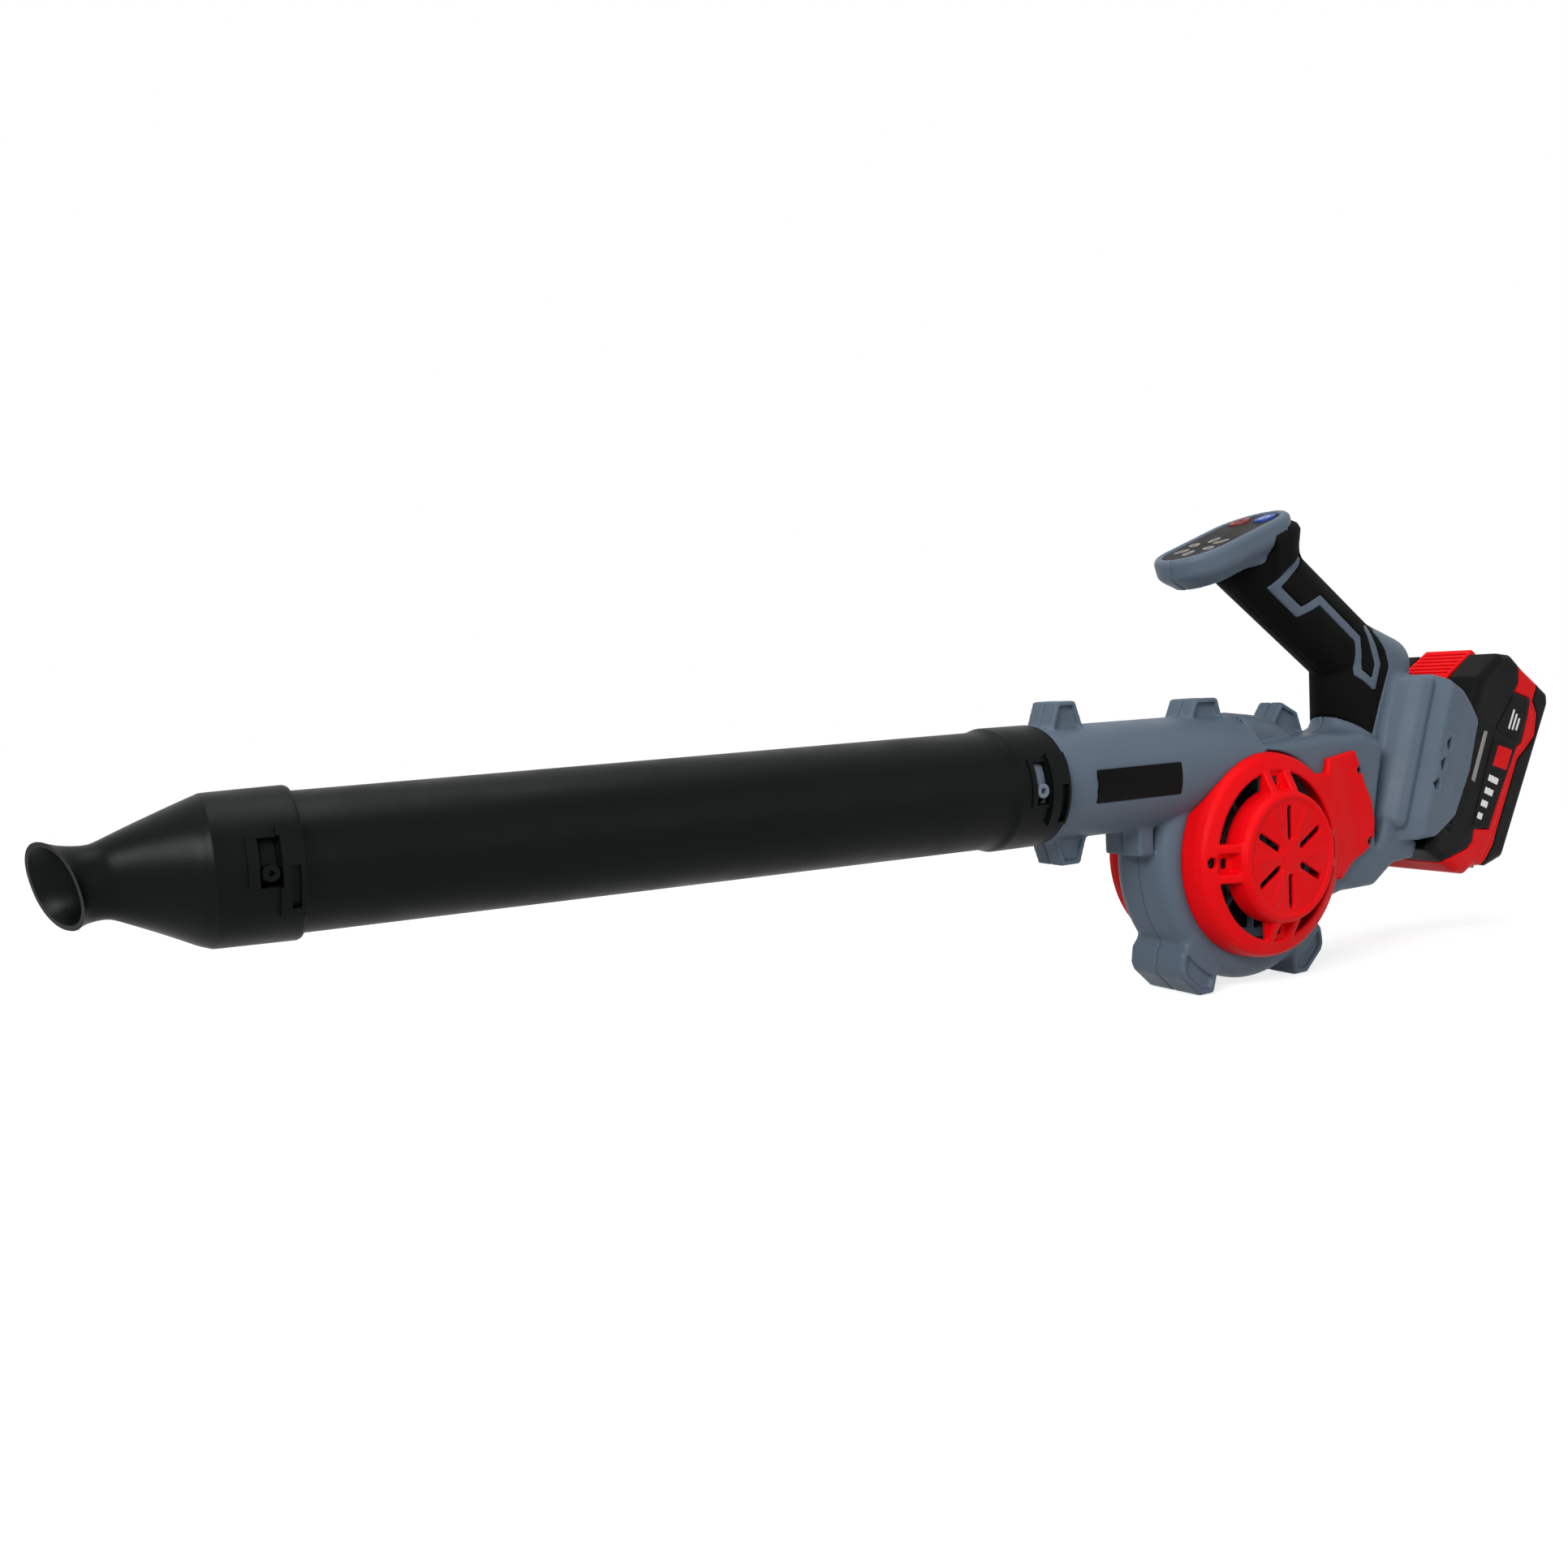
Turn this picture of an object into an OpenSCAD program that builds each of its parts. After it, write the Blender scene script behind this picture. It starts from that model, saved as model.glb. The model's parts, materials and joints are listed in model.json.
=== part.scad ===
// Cordless leaf blower, built as an assembly of its separate pieces.
// Blowing direction is -X, the tool stands on its feet on z = 0 with +Z up,
// and the two halves of the housing meet on the plane y = 0.

/* [Fan housing] */
// Smallest radius of the fan scroll, where it starts at the front
scroll_r = 60; // [59.5:0.5:61]
// Growth of the scroll radius for each quarter turn
scroll_step = 3; // [2.5:0.25:3.5]
// Half the width of the scroll
scroll_half = 19; // [18.5:0.5:20]
// Radius of the rounded shoulder of the scroll
scroll_round = 9; // [7:0.5:10]
// Wall thickness of the moulded housing
wall = 2.2; // [2:0.1:2.4]
// Radius of the air inlet in each side of the scroll
eye_r = 40; // [39:0.5:40.5]
// Outer radius of the outlet duct
duct_r = 27; // [26.8:0.1:27.4]
// Distance from the fan axis to the front face of the duct
duct_front = 129.7; // [128:0.5:132]
// Outer radius of the spigot that carries the blow tube
spigot_r = 26; // [25.8:0.1:26.2]
// Inner radius of the outlet duct
bore_r = 23.8; // [23.4:0.1:24]
// Half the width of the rear block that holds the electronics
block_half = 28; // [27.5:0.5:29]
// Height of the fan axis above the soles of the feet
axis_height = 67.5; // [67:0.5:69]

/* [Air inlet covers] */
// Radius of the cover ring where it meets the scroll
ring_r = 52; // [51.5:0.25:52.5]
// Width of the cover ring, from its edge to its inner opening
ring_w = 9.7; // [9.2:0.1:10]
// Height of the ring face above the middle plane
ring_top = 34.2; // [33.5:0.1:35]
// Radius of the rim of the centre drum
drum_r = 32; // [31:0.25:32.5]
// Height of the drum rim above the middle plane
drum_top = 42.8; // [42:0.1:44]
// Number of vent slots in each drum
vent_count = 6; // [4:1:8]
// Width of each vent slot
vent_w = 3.2; // [2.5:0.1:3.6]

/* [Fan and motor] */
// Outer radius of the fan wheel
fan_r = 50; // [48:0.5:51]
// Half the width of the fan wheel
fan_half = 14.5; // [13.5:0.25:15]
// Number of fan blades
blade_count = 16; // [12:1:18]
// Outer radius of the motor can
can_r = 24; // [23:0.25:24.5]
// Radius of the motor shaft
shaft_r = 2.5; // [2.25:0.05:2.75]

/* [Blow tube and nozzle] */
// Outer radius of the tube next to its collar
tube_r_rear = 26.7; // [26.5:0.1:27]
// Outer radius of the tube at the nozzle end
tube_r_front = 24.2; // [24:0.1:24.6]
// Wall thickness of the tube
tube_wall = 2; // [1.8:0.1:2.1]
// Distance from the fan axis to the nozzle end of the tube taper
tube_reach = 462; // [440:1:480]
// Outer radius of the collar
collar_r = 28.3; // [28.2:0.1:28.8]
// Outer radius of the nozzle sleeve
sleeve_r = 26.8; // [26.6:0.1:27.2]
// Length of the nozzle ahead of the tube taper
nozzle_length = 79; // [74:0.5:84]
// Height of the nozzle mouth
mouth_high = 31; // [29:0.5:33]
// Width of the nozzle mouth
mouth_wide = 23; // [22:0.5:25]

/* [Handle and controls] */
// Radius of the rounded edges of the handle, half its width
handle_r = 16.5; // [16:0.1:17]
// Thickness of the soft grip layer
grip_skin = 3; // [2.6:0.1:3.2]
// Depth of the trim stripe set into the grip
trim_depth = 1.5; // [1.2:0.1:1.8]
// Width of the trim stripe
trim_w = 5; // [4.5:0.1:5.6]
// Half the length of the control head
head_half = 41; // [40.5:0.5:42]
// Half the width of the control head
head_w = 22.2; // [22:0.2:23]
// Half the width of the black control panel
panel_w = 17.2; // [17:0.1:17.4]
// Radius of the two push buttons
button_r = 5.4; // [5:0.1:5.5]

/* [Battery] */
// Lean of the battery away from upright, in degrees
pack_tilt = 28; // [28:0.25:28.5]
// Half the width of the battery
pack_half = 35.5; // [35.5:0.1:36]
// Radius of one battery cell
cell_r = 9.1; // [8.9:0.05:9.2]
// Length of one battery cell
cell_length = 65; // [64:0.5:65.5]

/* [Fits] */
// Running clearance between a turning piece and its seat
run_fit = 0.05; // [0.03:0.01:0.08]
// Sliding clearance between the battery rails and the foot
slide_fit = 0.12; // [0.08:0.02:0.2]
// Free gap between neighbouring pieces
gap = 0.3; // [0.25:0.05:0.4]

/* [Part to show] */
// Which piece is built

/* [Hidden] */
$fn = 64;

grey = [0.29, 0.33, 0.37];
red = [0.78, 0.06, 0.09];
black = [0.08, 0.08, 0.09];
steel = [0.7, 0.71, 0.73];
copper = [0.72, 0.4, 0.2];

scroll_top = scroll_r + 3 * scroll_step + scroll_step / 2;
duct_z = scroll_top + 0.5 - duct_r;
nozzle_tip = tube_reach + nozzle_length + 1;
in_half = scroll_half - wall;
spigot_end = duct_front + 27.3;
duct_stop_r = 43;
latch_x = -146.5;
latch_w = 4.6;
boss_r = 3.2;
front_boss_r = 2.8;
front_latch_x = -tube_reach - 11.5;
sleeve_back = tube_reach + run_fit;
finger_r = spigot_r - 0.9;
front_spigot_r = tube_r_front;
front_finger_r = front_spigot_r - 0.9;
head_tilt = 19.6;
head_x = 3.5;
head_z = 161.5;
head_c = head_half - head_w;
panel_seat = 2.8;
button_s = 25.2;
button_y = 8.2;
panel_pocket = panel_w + gap;
button_hollow_r = norm([button_s - head_half + panel_pocket + 4.6, button_y]) + button_r + 0.35 + gap;
board_floor = 12.5;
petal_s = -15.5;
channel_floor = 98.9;
rail_head = 24;
rail_neck = 20;
rail_step = 105;
pack_front = 110.5;
rail_low = 52;
rail_high = 137;
ring_open_r = ring_r - ring_w;
ring_screw = [6.4 - ring_r, 1];
tab_screws = [[69.6, 37.6], [77.2, -0.8]];
case_screws = [[-113, 76.5], [-113, 11.5], [-43, -57], [46, -57], [127, 92], [93, -12]];
board_posts = [[73, 40], [73, 12], [92, 40], [92, 12]];
board_face = 6.8;
can_front = 7;
can_back = 36;

// Outline of the rear block, seen from the side.
block_front_pts = [[0, 0], [40, -30], [60, -26], [60, 57.2], [33, 68], [22, 69.5], [0, 60]];
block_rear_pts = [[56, -26], [86, -26], [104, -15], [112, 0], [108, 20], [100, 50], [78, 57], [56, 58]];
// Outline of the handle, half its width inside the surface.
handle_pts = [[19.5, 147.5], [96, 95.9], [96, 42], [123, 42], [127.5, 91.5], [99.8, 101.3], [28.6, 149.9]];
// Side area covered by the soft grip.
grip_pts = [[-14, 110], [60, 72], [70, 68], [80, 65.5], [88, 60.5], [99, 52.5], [106, 70], [115, 90.5], [112, 100],
    [107, 109], [116, 122], [55, 172], [47.5, 164], [40, 163], [21, 159], [18, 146], [-14, 137]];
// Middle line of the trim stripe.
trim_pts = [[47, 151], [26, 134], [45, 121], [59, 127], [89, 106], [90.5, 88], [101.5, 81], [105.5, 92], [98, 113]];
// Section of the battery foot across the sliding direction.
foot_pts = [[60, -14], [66, -22], [75, -31], [88, -35.8], [99, -35.8], [99, 35.8], [88, 35.8], [75, 31], [66, 22], [60, 14]];
foot_in_pts = [[70, -20], [77, -27.5], [88, -32], [96.4, -32], [96.4, 32], [88, 32], [77, 27.5], [70, 20]];
foot_side_pts = [[52, 40], [72, 34], [88, 33], [99, 35.5], [99, 137], [82, 138], [66, 132], [52, 124]];
cheek_pts = [[84, 48], [94, 47], [108, 55], [119, 72], [120, 99], [115, 127], [97, 137], [84, 138]];
stop_pts = [[80, 34], [88, 33], [98, 35], [110.3, 42.5], [110.3, 52], [80, 52]];
// Side outline of the battery and the two steps in it.
pack_pts = [[pack_front, 48], [139, 46], [148, 48.5], [153, 55], [164, 59], [176, 70], [177.5, 166], [174, 172],
    [165, 175], [145, 175], [132, 173], [122, 169], [pack_front, 150]];
pack_back = pack_pts[6][0] * cos(pack_tilt) + pack_pts[6][1] * sin(pack_tilt);
shift_x = (nozzle_tip - pack_back) / 2;
case_pts = [[90, 30], [137, 30], [137, 53], [142, 64], [143, 72], [157, 80], [156, 127], [156, 137], [164, 143],
    [163, 153], [156, 157], [142, 155], [146, 161], [139, 167], [139, 190], [90, 190]];
cap_pts = [[159, 30], [159, 59], [163, 72], [162.5, 79], [162.5, 125], [167.5, 134], [172, 144], [168, 156], [161, 161],
    [161, 171], [161, 190], [200, 190], [200, 30]];

function inset(p, d) = [for (i = [0:len(p) - 1])
    let(a = p[(i + len(p) - 1) % len(p)], b = p[i], c = p[(i + 1) % len(p)],
        u = (b - a) / norm(b - a), w = (c - b) / norm(c - b),
        n1 = [-u[1], u[0]], n2 = [-w[1], w[0]])
    b + d * (n1 + n2) / (1 + n1 * n2)];

// ---- placing helpers ----

module placed() {
    translate([shift_x, 0, axis_height]) children();
}

module side_on() {
    rotate([90, 0, 0]) children();
}

module side_prism(points, half) {
    side_on() linear_extrude(height = 2 * half, center = true) polygon(points);
}

module both_sides() {
    children();
    mirror([0, 1, 0]) children();
}

module near_half() {
    intersection() {
        children();
        translate([-600, -100, -200]) cube([1200, 100, 500]);
    }
}

module far_half() {
    intersection() {
        children();
        translate([-600, 0, -200]) cube([1200, 100, 500]);
    }
}

// A straight round bar from one point of the middle plane to another.
module bar(a, b, r) {
    d = b - a;
    translate([a[0], 0, a[1]])
        rotate([0, atan2(d[0], d[1]), 0])
            cylinder(h = norm(d), r = r);
}

// A cylinder that lies along the duct, between two stations ahead of the fan axis.
module along(x0, x1, r0, r1) {
    translate([x0, 0, duct_z]) rotate([0, 90, 0]) cylinder(h = x1 - x0, r1 = r0, r2 = r1);
}

// A piece of ring round the duct axis; angles count upward from the left side.
module ring_part(x0, x1, r0, r1, a0, a1) {
    translate([x0, 0, duct_z])
        rotate([0, 90, 0])
            rotate([0, 0, 270 - a1])
                rotate_extrude(angle = a1 - a0)
                    translate([r0, 0]) square([r1 - r0, x1 - x0]);
}

module pack_frame() {
    rotate([0, pack_tilt, 0]) children();
}

module pack_prism(points, half) {
    pack_frame() side_prism(points, half);
}

module stadium(r, c) {
    union() {
        translate([c, 0]) circle(r);
        translate([-c, 0]) circle(r);
        square([2 * c, 2 * r], center = true);
    }
}

module head_frame() {
    translate([head_x, 0, head_z]) rotate([0, -head_tilt, 0]) children();
}

// ---- housing ----

module scroll_profile(r, half, round) {
    union() {
        translate([0, -half]) square([r - round, 2 * half]);
        translate([0, -(half - round)]) square([r, 2 * (half - round)]);
        translate([r - round, half - round]) circle(round);
        translate([r - round, -(half - round)]) circle(round);
    }
}

// Four quarter arcs whose radius grows by one step each quarter turn.
module scroll(inward) {
    c = scroll_step / 2;
    spots = [[-c, c], [-c, -c], [c, -c], [c, c]];
    grow = [3, 0, 1, 2];
    side_on() {
        for (i = [0:3]) {
            translate([spots[i][0], spots[i][1], 0])
                rotate([0, 0, 90 * i])
                    rotate_extrude(angle = 90)
                        scroll_profile(scroll_r + grow[i] * scroll_step - inward, scroll_half - inward, scroll_round - inward);
        }
    }
}

module side_disc(r, y0, y1) {
    both_sides() translate([0, -y0, 0]) side_on() cylinder(h = y1 - y0, r = r);
}

module duct_solid() {
    difference() {
        along(-duct_front, 2, duct_r, duct_r);
        side_disc(duct_stop_r, scroll_half, 40);
    }
    along(-spigot_end, -duct_front + 1, spigot_r, spigot_r);
}

module duct_hollow() {
    difference() {
        along(-spigot_end - 1, -1, bore_r, bore_r);
        side_disc(duct_stop_r + wall, in_half, 40);
    }
}

module tooth(points, half) {
    difference() {
        side_prism(points, half);
        both_sides() translate([0, -half - 0.01, 0]) rotate([-90, 0, 0]) mirror([0, 1, 0])
            linear_extrude(height = 3.5) polygon(inset(points, 2.4));
    }
}

module teeth() {
    t1 = [[-124.6, duct_z + 22], [-101.4, duct_z + 22], [-107.4, duct_z + 38.5], [-118.6, duct_z + 38.5]];
    t2 = [[-34.5, duct_z + 20], [-6.7, duct_z + 20], [-11.7, duct_z + 35.5], [-27.3, duct_z + 35.5]];
    t3 = [[28, 62], [56, 54], [50.3, 69], [38.2, 75]];
    tooth(t1, 9);
    tooth(t2, 9);
    tooth(t3, 7.7);
    translate([0, 0, 2 * duct_z]) mirror([0, 0, 1]) tooth(t1, 9);
    side_prism([[-72, 6], [-62, 6], [-62, duct_z - 20], [-72, duct_z - 20]], 12);
}

module foot_block() {
    sole = -axis_height;
    side_prism([[-40, -34], [-50.4, -45], [-51.7, -53.5], [-50, -57.5], [-38.5, sole], [-29, sole], [-26, -58], [-37, -30]], 17.7);
}

module block_solid() {
    difference() {
        union() {
            hull() {
                side_prism(block_front_pts, block_half - 4);
                side_prism(inset(block_front_pts, 3.5), block_half);
            }
            hull() {
                side_prism(block_rear_pts, block_half - 4);
                side_prism(inset(block_rear_pts, 3.5), block_half);
            }
        }
        side_disc(ring_r + gap, scroll_half, 60);
    }
}

// Two rounded blocks, the grip bar and the neck, with the same edge radius.
module handle(r) {
    for (part = [[0, 1, 5, 6], [1, 2, 3, 4, 5]]) hull() {
        for (i = part) {
            translate([handle_pts[i][0], 0, handle_pts[i][1]]) rotate([90, 0, 0]) sphere(r, $fn = 20);
        }
    }
}

module handle_frame() {
    union() {
        handle(handle_r - grip_skin);
        difference() {
            handle(handle_r);
            side_prism(grip_pts, 30);
        }
    }
}

// A round-ended block whose edge slopes evenly all the way round.
module stadium_slope(z0, r0, z1, r1, c) {
    for (s = [-1, 1]) translate([s * c, 0, z0]) cylinder(h = z1 - z0, r1 = r0, r2 = r1);
    translate([-c, 0, 0]) rotate([90, 0, 90])
        linear_extrude(height = 2 * c) polygon([[-r0, z0], [r0, z0], [r1, z1], [-r1, z1]]);
}

module head_solid() {
    head_frame() {
        stadium_slope(-2, head_w, 0, head_w - 1.4, head_c);
        translate([0, 0, -9]) linear_extrude(height = 7) stadium(head_w, head_c);
        stadium_slope(-17.5, head_w - 7.5, -9, head_w, head_c);
    }
}

module foot_solid() {
    intersection() {
        pack_frame() translate([0, 0, 30]) linear_extrude(height = 115) polygon(foot_pts);
        pack_prism(foot_side_pts, 60);
    }
    pack_prism(cheek_pts, 38.5);
    pack_prism(stop_pts, 35.8);
    both_sides() pack_frame() translate([101, -39.2, 66]) cube([4, 1, 50]);
}

module bay_hollow() {
    difference() {
        union() {
            side_prism(inset(block_front_pts, wall + 1.6), block_half - wall - 1.2);
            side_prism(inset(block_rear_pts, wall + 1.6), block_half - wall - 1.2);
            side_prism([[50, -20], [70, -20], [70, 50], [50, 50]], block_half - wall - 1.2);
        }
        scroll(0);
        side_disc(ring_r + gap + wall, in_half, 60);
        duct_solid();
    }
    pack_frame() translate([0, 0, 58]) linear_extrude(height = 68) polygon(foot_in_pts);
}

module battery_space() {
    pack_frame() {
        translate([110.3, -35.8, 20]) cube([100, 71.6, 180]);
        translate([channel_floor, -rail_head - slide_fit, rail_low]) cube([rail_step + slide_fit - channel_floor, 2 * (rail_head + slide_fit), 120]);
        translate([channel_floor, -rail_neck - slide_fit, rail_low]) cube([20, 2 * (rail_neck + slide_fit), 120]);
        translate([99.4, -18 - gap, 44]) cube([9.4, 36 + 2 * gap, 9]);
        translate([86, -8, 45]) cube([15, 16, 6]);
        both_sides() for (u = [81, 93, 105]) {
            translate([96, -37.5, u]) rotate([0, 45, 0]) translate([-2.4, -3, -2.4]) cube([4.8, 3, 4.8]);
        }
    }
}

// Channel for the wires, from the rear block through the neck and grip to the head.
module wire_way() {
    side_prism([[96, 30], [105, 30], [114, 86], [109, 93], [25, 153.5], [17, 156], [17, 144], [102, 86]], 4.5);
}

module head_hollow() {
    head_frame() {
        translate([0, 0, -panel_seat]) linear_extrude(height = panel_seat + 1) stadium(panel_pocket, head_half - panel_pocket - 4.6);
        translate([0, 0, -board_floor]) linear_extrude(height = board_floor) stadium(button_hollow_r, head_half - panel_pocket - 4.6);
    }
}

module screw_bosses() {
    for (p = tab_screws) both_sides() translate([p[0], -12, p[1]]) side_on() cylinder(h = block_half - 13.5, r = 3.6);
    both_sides() translate([ring_screw[0], -scroll_half + 0.5, ring_screw[1]]) side_on() cylinder(h = 28.8 - scroll_half + 0.5 - 1, r = 2.9);
    for (p = board_posts) translate([p[0], -board_face, p[1]]) side_on() cylinder(h = block_half - wall - board_face, r = 2.6);
    translate([93, 0, -12]) side_on() cylinder(h = 2 * (block_half - 2), r = 4.6, center = true);
}

module case_holes() {
    for (p = case_screws) {
        translate([p[0], 9.2, p[1]]) side_on() cylinder(h = 14, r = 1.6);
        translate([p[0], 70, p[1]]) side_on() cylinder(h = 63.7, r = 3.2);
    }
    for (p = tab_screws) both_sides() translate([p[0], -14, p[1]]) side_on() cylinder(h = 20, r = 1.6);
    both_sides() translate([ring_screw[0], -17.8, ring_screw[1]]) side_on() cylinder(h = 20, r = 1.6);
}

module housing_body() {
    difference() {
        union() {
            difference() {
                union() {
                    scroll(0);
                    duct_solid();
                    block_solid();
                    teeth();
                    foot_block();
                    translate([3, 0, 0]) mirror([1, 0, 0]) foot_block();
                    difference() {
                        foot_solid();
                        side_disc(ring_r + gap, scroll_half, 60);
                    }
                    handle_frame();
                    head_solid();
                }
                scroll(wall);
                duct_hollow();
                translate([0, 40, 0]) side_on() cylinder(h = 80, r = eye_r);
                bay_hollow();
                battery_space();
                wire_way();
                head_hollow();
            }
            screw_bosses();
        }
        case_holes();
        finger_gap(latch_x, finger_r, boss_r);
        ring_part(-112, -57.5, duct_r - 0.8, 32, -19, 14.5);
    }
}

module housing_left() {
    color(grey) placed() near_half() housing_body();
}

// The right half is plain on its outside: it has no badge pocket and no tube latch.
module housing_right() {
    color(grey) placed() far_half() housing_body();
}

// ---- air inlet covers ----

module cover() {
    inner = ring_r - wall;
    difference() {
        union() {
            rotate_extrude() polygon([[inner, scroll_half], [ring_r, scroll_half], [ring_r - 3.5, ring_top - 2.2],
                [ring_open_r, ring_top], [ring_open_r, ring_top - 2.2], [inner - 3, ring_top - 4]]);
            rotate_extrude() polygon([[drum_r - 0.7, 29], [drum_r + 1.5, 29], [drum_r, drum_top], [drum_r - 3, drum_top],
                [drum_r - 3.3, drum_top - 1], [0, drum_top - 1], [0, drum_top - 3], [drum_r - 2, drum_top - 3]]);
            for (a = [0:90:270]) rotate([0, 0, a]) {
                for (s = [-7.2, 7.2]) translate([0, s + 2.4, 0]) rotate([90, 0, 0]) linear_extrude(height = 4.8)
                    polygon([[drum_r - 0.4, 31], [ring_open_r + 2.3, 31], [ring_open_r + 2.3, ring_top - 1], [ring_open_r, ring_top + 0.6],
                        [drum_r + 0.8, 40.5], [drum_r - 0.4, 40.5]]);
                translate([drum_r, -5, 31]) cube([ring_open_r + 1.7 - drum_r, 10, 1.8]);
            }
            translate([0, 0, block_half]) linear_extrude(height = 2.5) polygon(concat([for (a = [40, 20, 0, -18]) (ring_r - 4) * [cos(a), sin(a)]],
                [[50.9, -18.2], [60.9, -10.7], [70.9, -7.1], [77.7, -3.5], [80.6, 1.4], [81.5, 10],
                [79.1, 21], [74, 30], [69.7, 41], [65.9, 48.1], [44.4, 45.3], [42.3, 38]]));
            translate([ring_screw[0], ring_screw[1], 28.8]) cylinder(h = 3.4, r = 3.4);
        }
        translate([0, duct_z, 0]) rotate([0, 90, 0]) translate([0, 0, -duct_front]) cylinder(h = duct_front + 2 + gap, r = duct_r + gap);
        for (a = [0:90:270]) rotate([0, 0, a]) translate([drum_r + 3, -2.5, 30]) cube([4.5, 5, 4]);
        for (i = [0:vent_count - 1]) rotate([0, 0, 30 + i * 360 / vent_count]) translate([0, 0, drum_top - 4]) {
            translate([10, -vent_w / 2, 0]) cube([14, vent_w, 6]);
            translate([10, 0, 0]) cylinder(h = 6, r = vent_w / 2);
            translate([24, 0, 0]) cylinder(h = 6, r = vent_w / 2);
        }
        for (p = tab_screws) translate([p[0], p[1], 20]) cylinder(h = 20, r = 1.7);
        translate([ring_screw[0], ring_screw[1], 15]) cylinder(h = 20, r = 1.7);
        translate([ring_screw[0], ring_screw[1], 30.6]) cylinder(h = 10, r = 2.9);
        translate([ring_screw[0], ring_screw[1], 15]) cylinder(h = 13.8, r = 3.2);
    }
}

module intake_cover_left() {
    color(red) placed() side_on() cover();
}

module intake_cover_right() {
    color(red) placed() mirror([0, 1, 0]) side_on() cover();
}

module guard_ring() {
    difference() {
        union() {
            translate([0, 0, scroll_half]) cylinder(h = 1.8, r = eye_r + 2.2);
            translate([0, 0, in_half + 0.4]) cylinder(h = scroll_half, r = eye_r - gap);
        }
        translate([0, 0, 0]) cylinder(h = 60, r = eye_r - 2.2);
        translate([0, 0, scroll_half + 1.8]) cylinder(h = 60, r = 60);
    }
}

module guard_spokes(r0) {
    for (i = [0:9]) rotate([0, 0, 36 * i + 12]) translate([r0, -1.1, in_half + 0.9]) cube([eye_r - 1.5 - r0, 2.2, 2.6]);
}

module finger_guard_left() {
    color(grey) placed() side_on() {
        guard_ring();
        guard_spokes(8);
        translate([0, 0, in_half + 0.9]) cylinder(h = 2.6, r = 10);
        difference() {
            translate([0, 0, in_half + 0.9]) cylinder(h = 2.6, r = 26);
            cylinder(h = 60, r = 24);
        }
    }
}

// ---- fan and motor ----

module motor_bracket() {
    cup = can_r + run_fit;
    color(grey) placed() mirror([0, 1, 0]) side_on() {
        guard_ring();
        difference() {
            union() {
                guard_spokes(can_r);
                translate([0, 0, 12]) cylinder(h = can_back + 2 - 12, r = can_r + 2.2);
            }
            translate([0, 0, 2]) cylinder(h = can_back - 2, r = cup);
            cylinder(h = 60, r = 12);
        }
    }
}

module motor_can() {
    color(steel) placed() mirror([0, 1, 0]) side_on() difference() {
        union() {
            translate([0, 0, can_front]) cylinder(h = can_back - can_front, r = can_r);
            translate([0, 0, can_back]) cylinder(h = 1.5, r = 8);
        }
        translate([0, 0, can_front - 1]) cylinder(h = can_back - can_front - 0.5, r = can_r - 1.5);
        translate([0, 0, can_back - 3]) cylinder(h = 3.5, r = 6.5);
        translate([0, 0, can_back - 3]) cylinder(h = 6, r = 4);
    }
}

module motor_endbell() {
    color(steel) placed() mirror([0, 1, 0]) side_on() difference() {
        union() {
            translate([0, 0, can_front + 0.2]) cylinder(h = 1.8, r = can_r - 1.5 - run_fit);
            translate([0, 0, can_front + 0.2]) cylinder(h = 5.2, r = 8);
        }
        translate([0, 0, can_front + 1.4]) cylinder(h = 10, r = 6.5 + run_fit);
        translate([0, 0, 0]) cylinder(h = 30, r = 4);
        for (a = [0:60:300]) rotate([0, 0, a]) translate([15.5, 0, 0]) cylinder(h = 20, r = 2.6);
    }
}

module stator() {
    color([0.45, 0.46, 0.48]) placed() mirror([0, 1, 0]) side_on() {
        difference() {
            translate([0, 0, 14]) cylinder(h = 15, r = can_r - 1.5 - run_fit);
            cylinder(h = 60, r = can_r - 4);
        }
        difference() {
            for (a = [0:60:300]) rotate([0, 0, a]) translate([12, -2.2, 14]) cube([can_r - 4 - 12 + 1, 4.4, 15]);
            cylinder(h = 60, r = 12.6);
        }
    }
}

module windings() {
    color(copper) placed() mirror([0, 1, 0]) side_on() {
        for (a = [0:60:300]) rotate([0, 0, a]) difference() {
            translate([13.6, -4.4, 12]) cube([4.8, 8.8, 19]);
            translate([12, -2.2 - run_fit, 14 - run_fit]) cube([10, 4.4 + 2 * run_fit, 15 + 2 * run_fit]);
        }
    }
}

module motor_rotor() {
    color(steel) placed() mirror([0, 1, 0]) side_on() {
        translate([0, 0, -9]) cylinder(h = can_back + 9.5, r = shaft_r);
        translate([0, 0, 14]) cylinder(h = 15, r = 12);
    }
}

module bearings() {
    color(steel) placed() mirror([0, 1, 0]) side_on() {
        for (z = [can_front + 1.4, can_back - 3 + 0.5]) translate([0, 0, z]) difference() {
            cylinder(h = 3, r = 6.45);
            translate([0, 0, -1]) cylinder(h = 6, r = shaft_r + run_fit);
        }
    }
}

// The fan wheel draws air from both sides: curved blades cross a middle disc.
module impeller() {
    blade_arc_r = 26;
    color(black) placed() side_on() difference() {
        union() {
            translate([0, 0, -0.9]) cylinder(h = 1.8, r = fan_r);
            translate([0, 0, -6]) cylinder(h = 12, r = 7);
            for (z = [-fan_half, fan_half - 1.2]) translate([0, 0, z]) difference() {
                cylinder(h = 1.2, r = fan_r);
                translate([0, 0, -1]) cylinder(h = 4, r = fan_r - 6);
            }
            for (i = [0:blade_count - 1]) rotate([0, 0, i * 360 / blade_count])
                translate([fan_r - 21, -19, 0.6 - fan_half]) rotate([0, 0, 46]) rotate_extrude(angle = 44)
                    translate([blade_arc_r, 0]) square([1.3, 2 * fan_half - 1.2]);
        }
        translate([0, 0, -10]) cylinder(h = 30, r = shaft_r + 0.01);
    }
}

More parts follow.
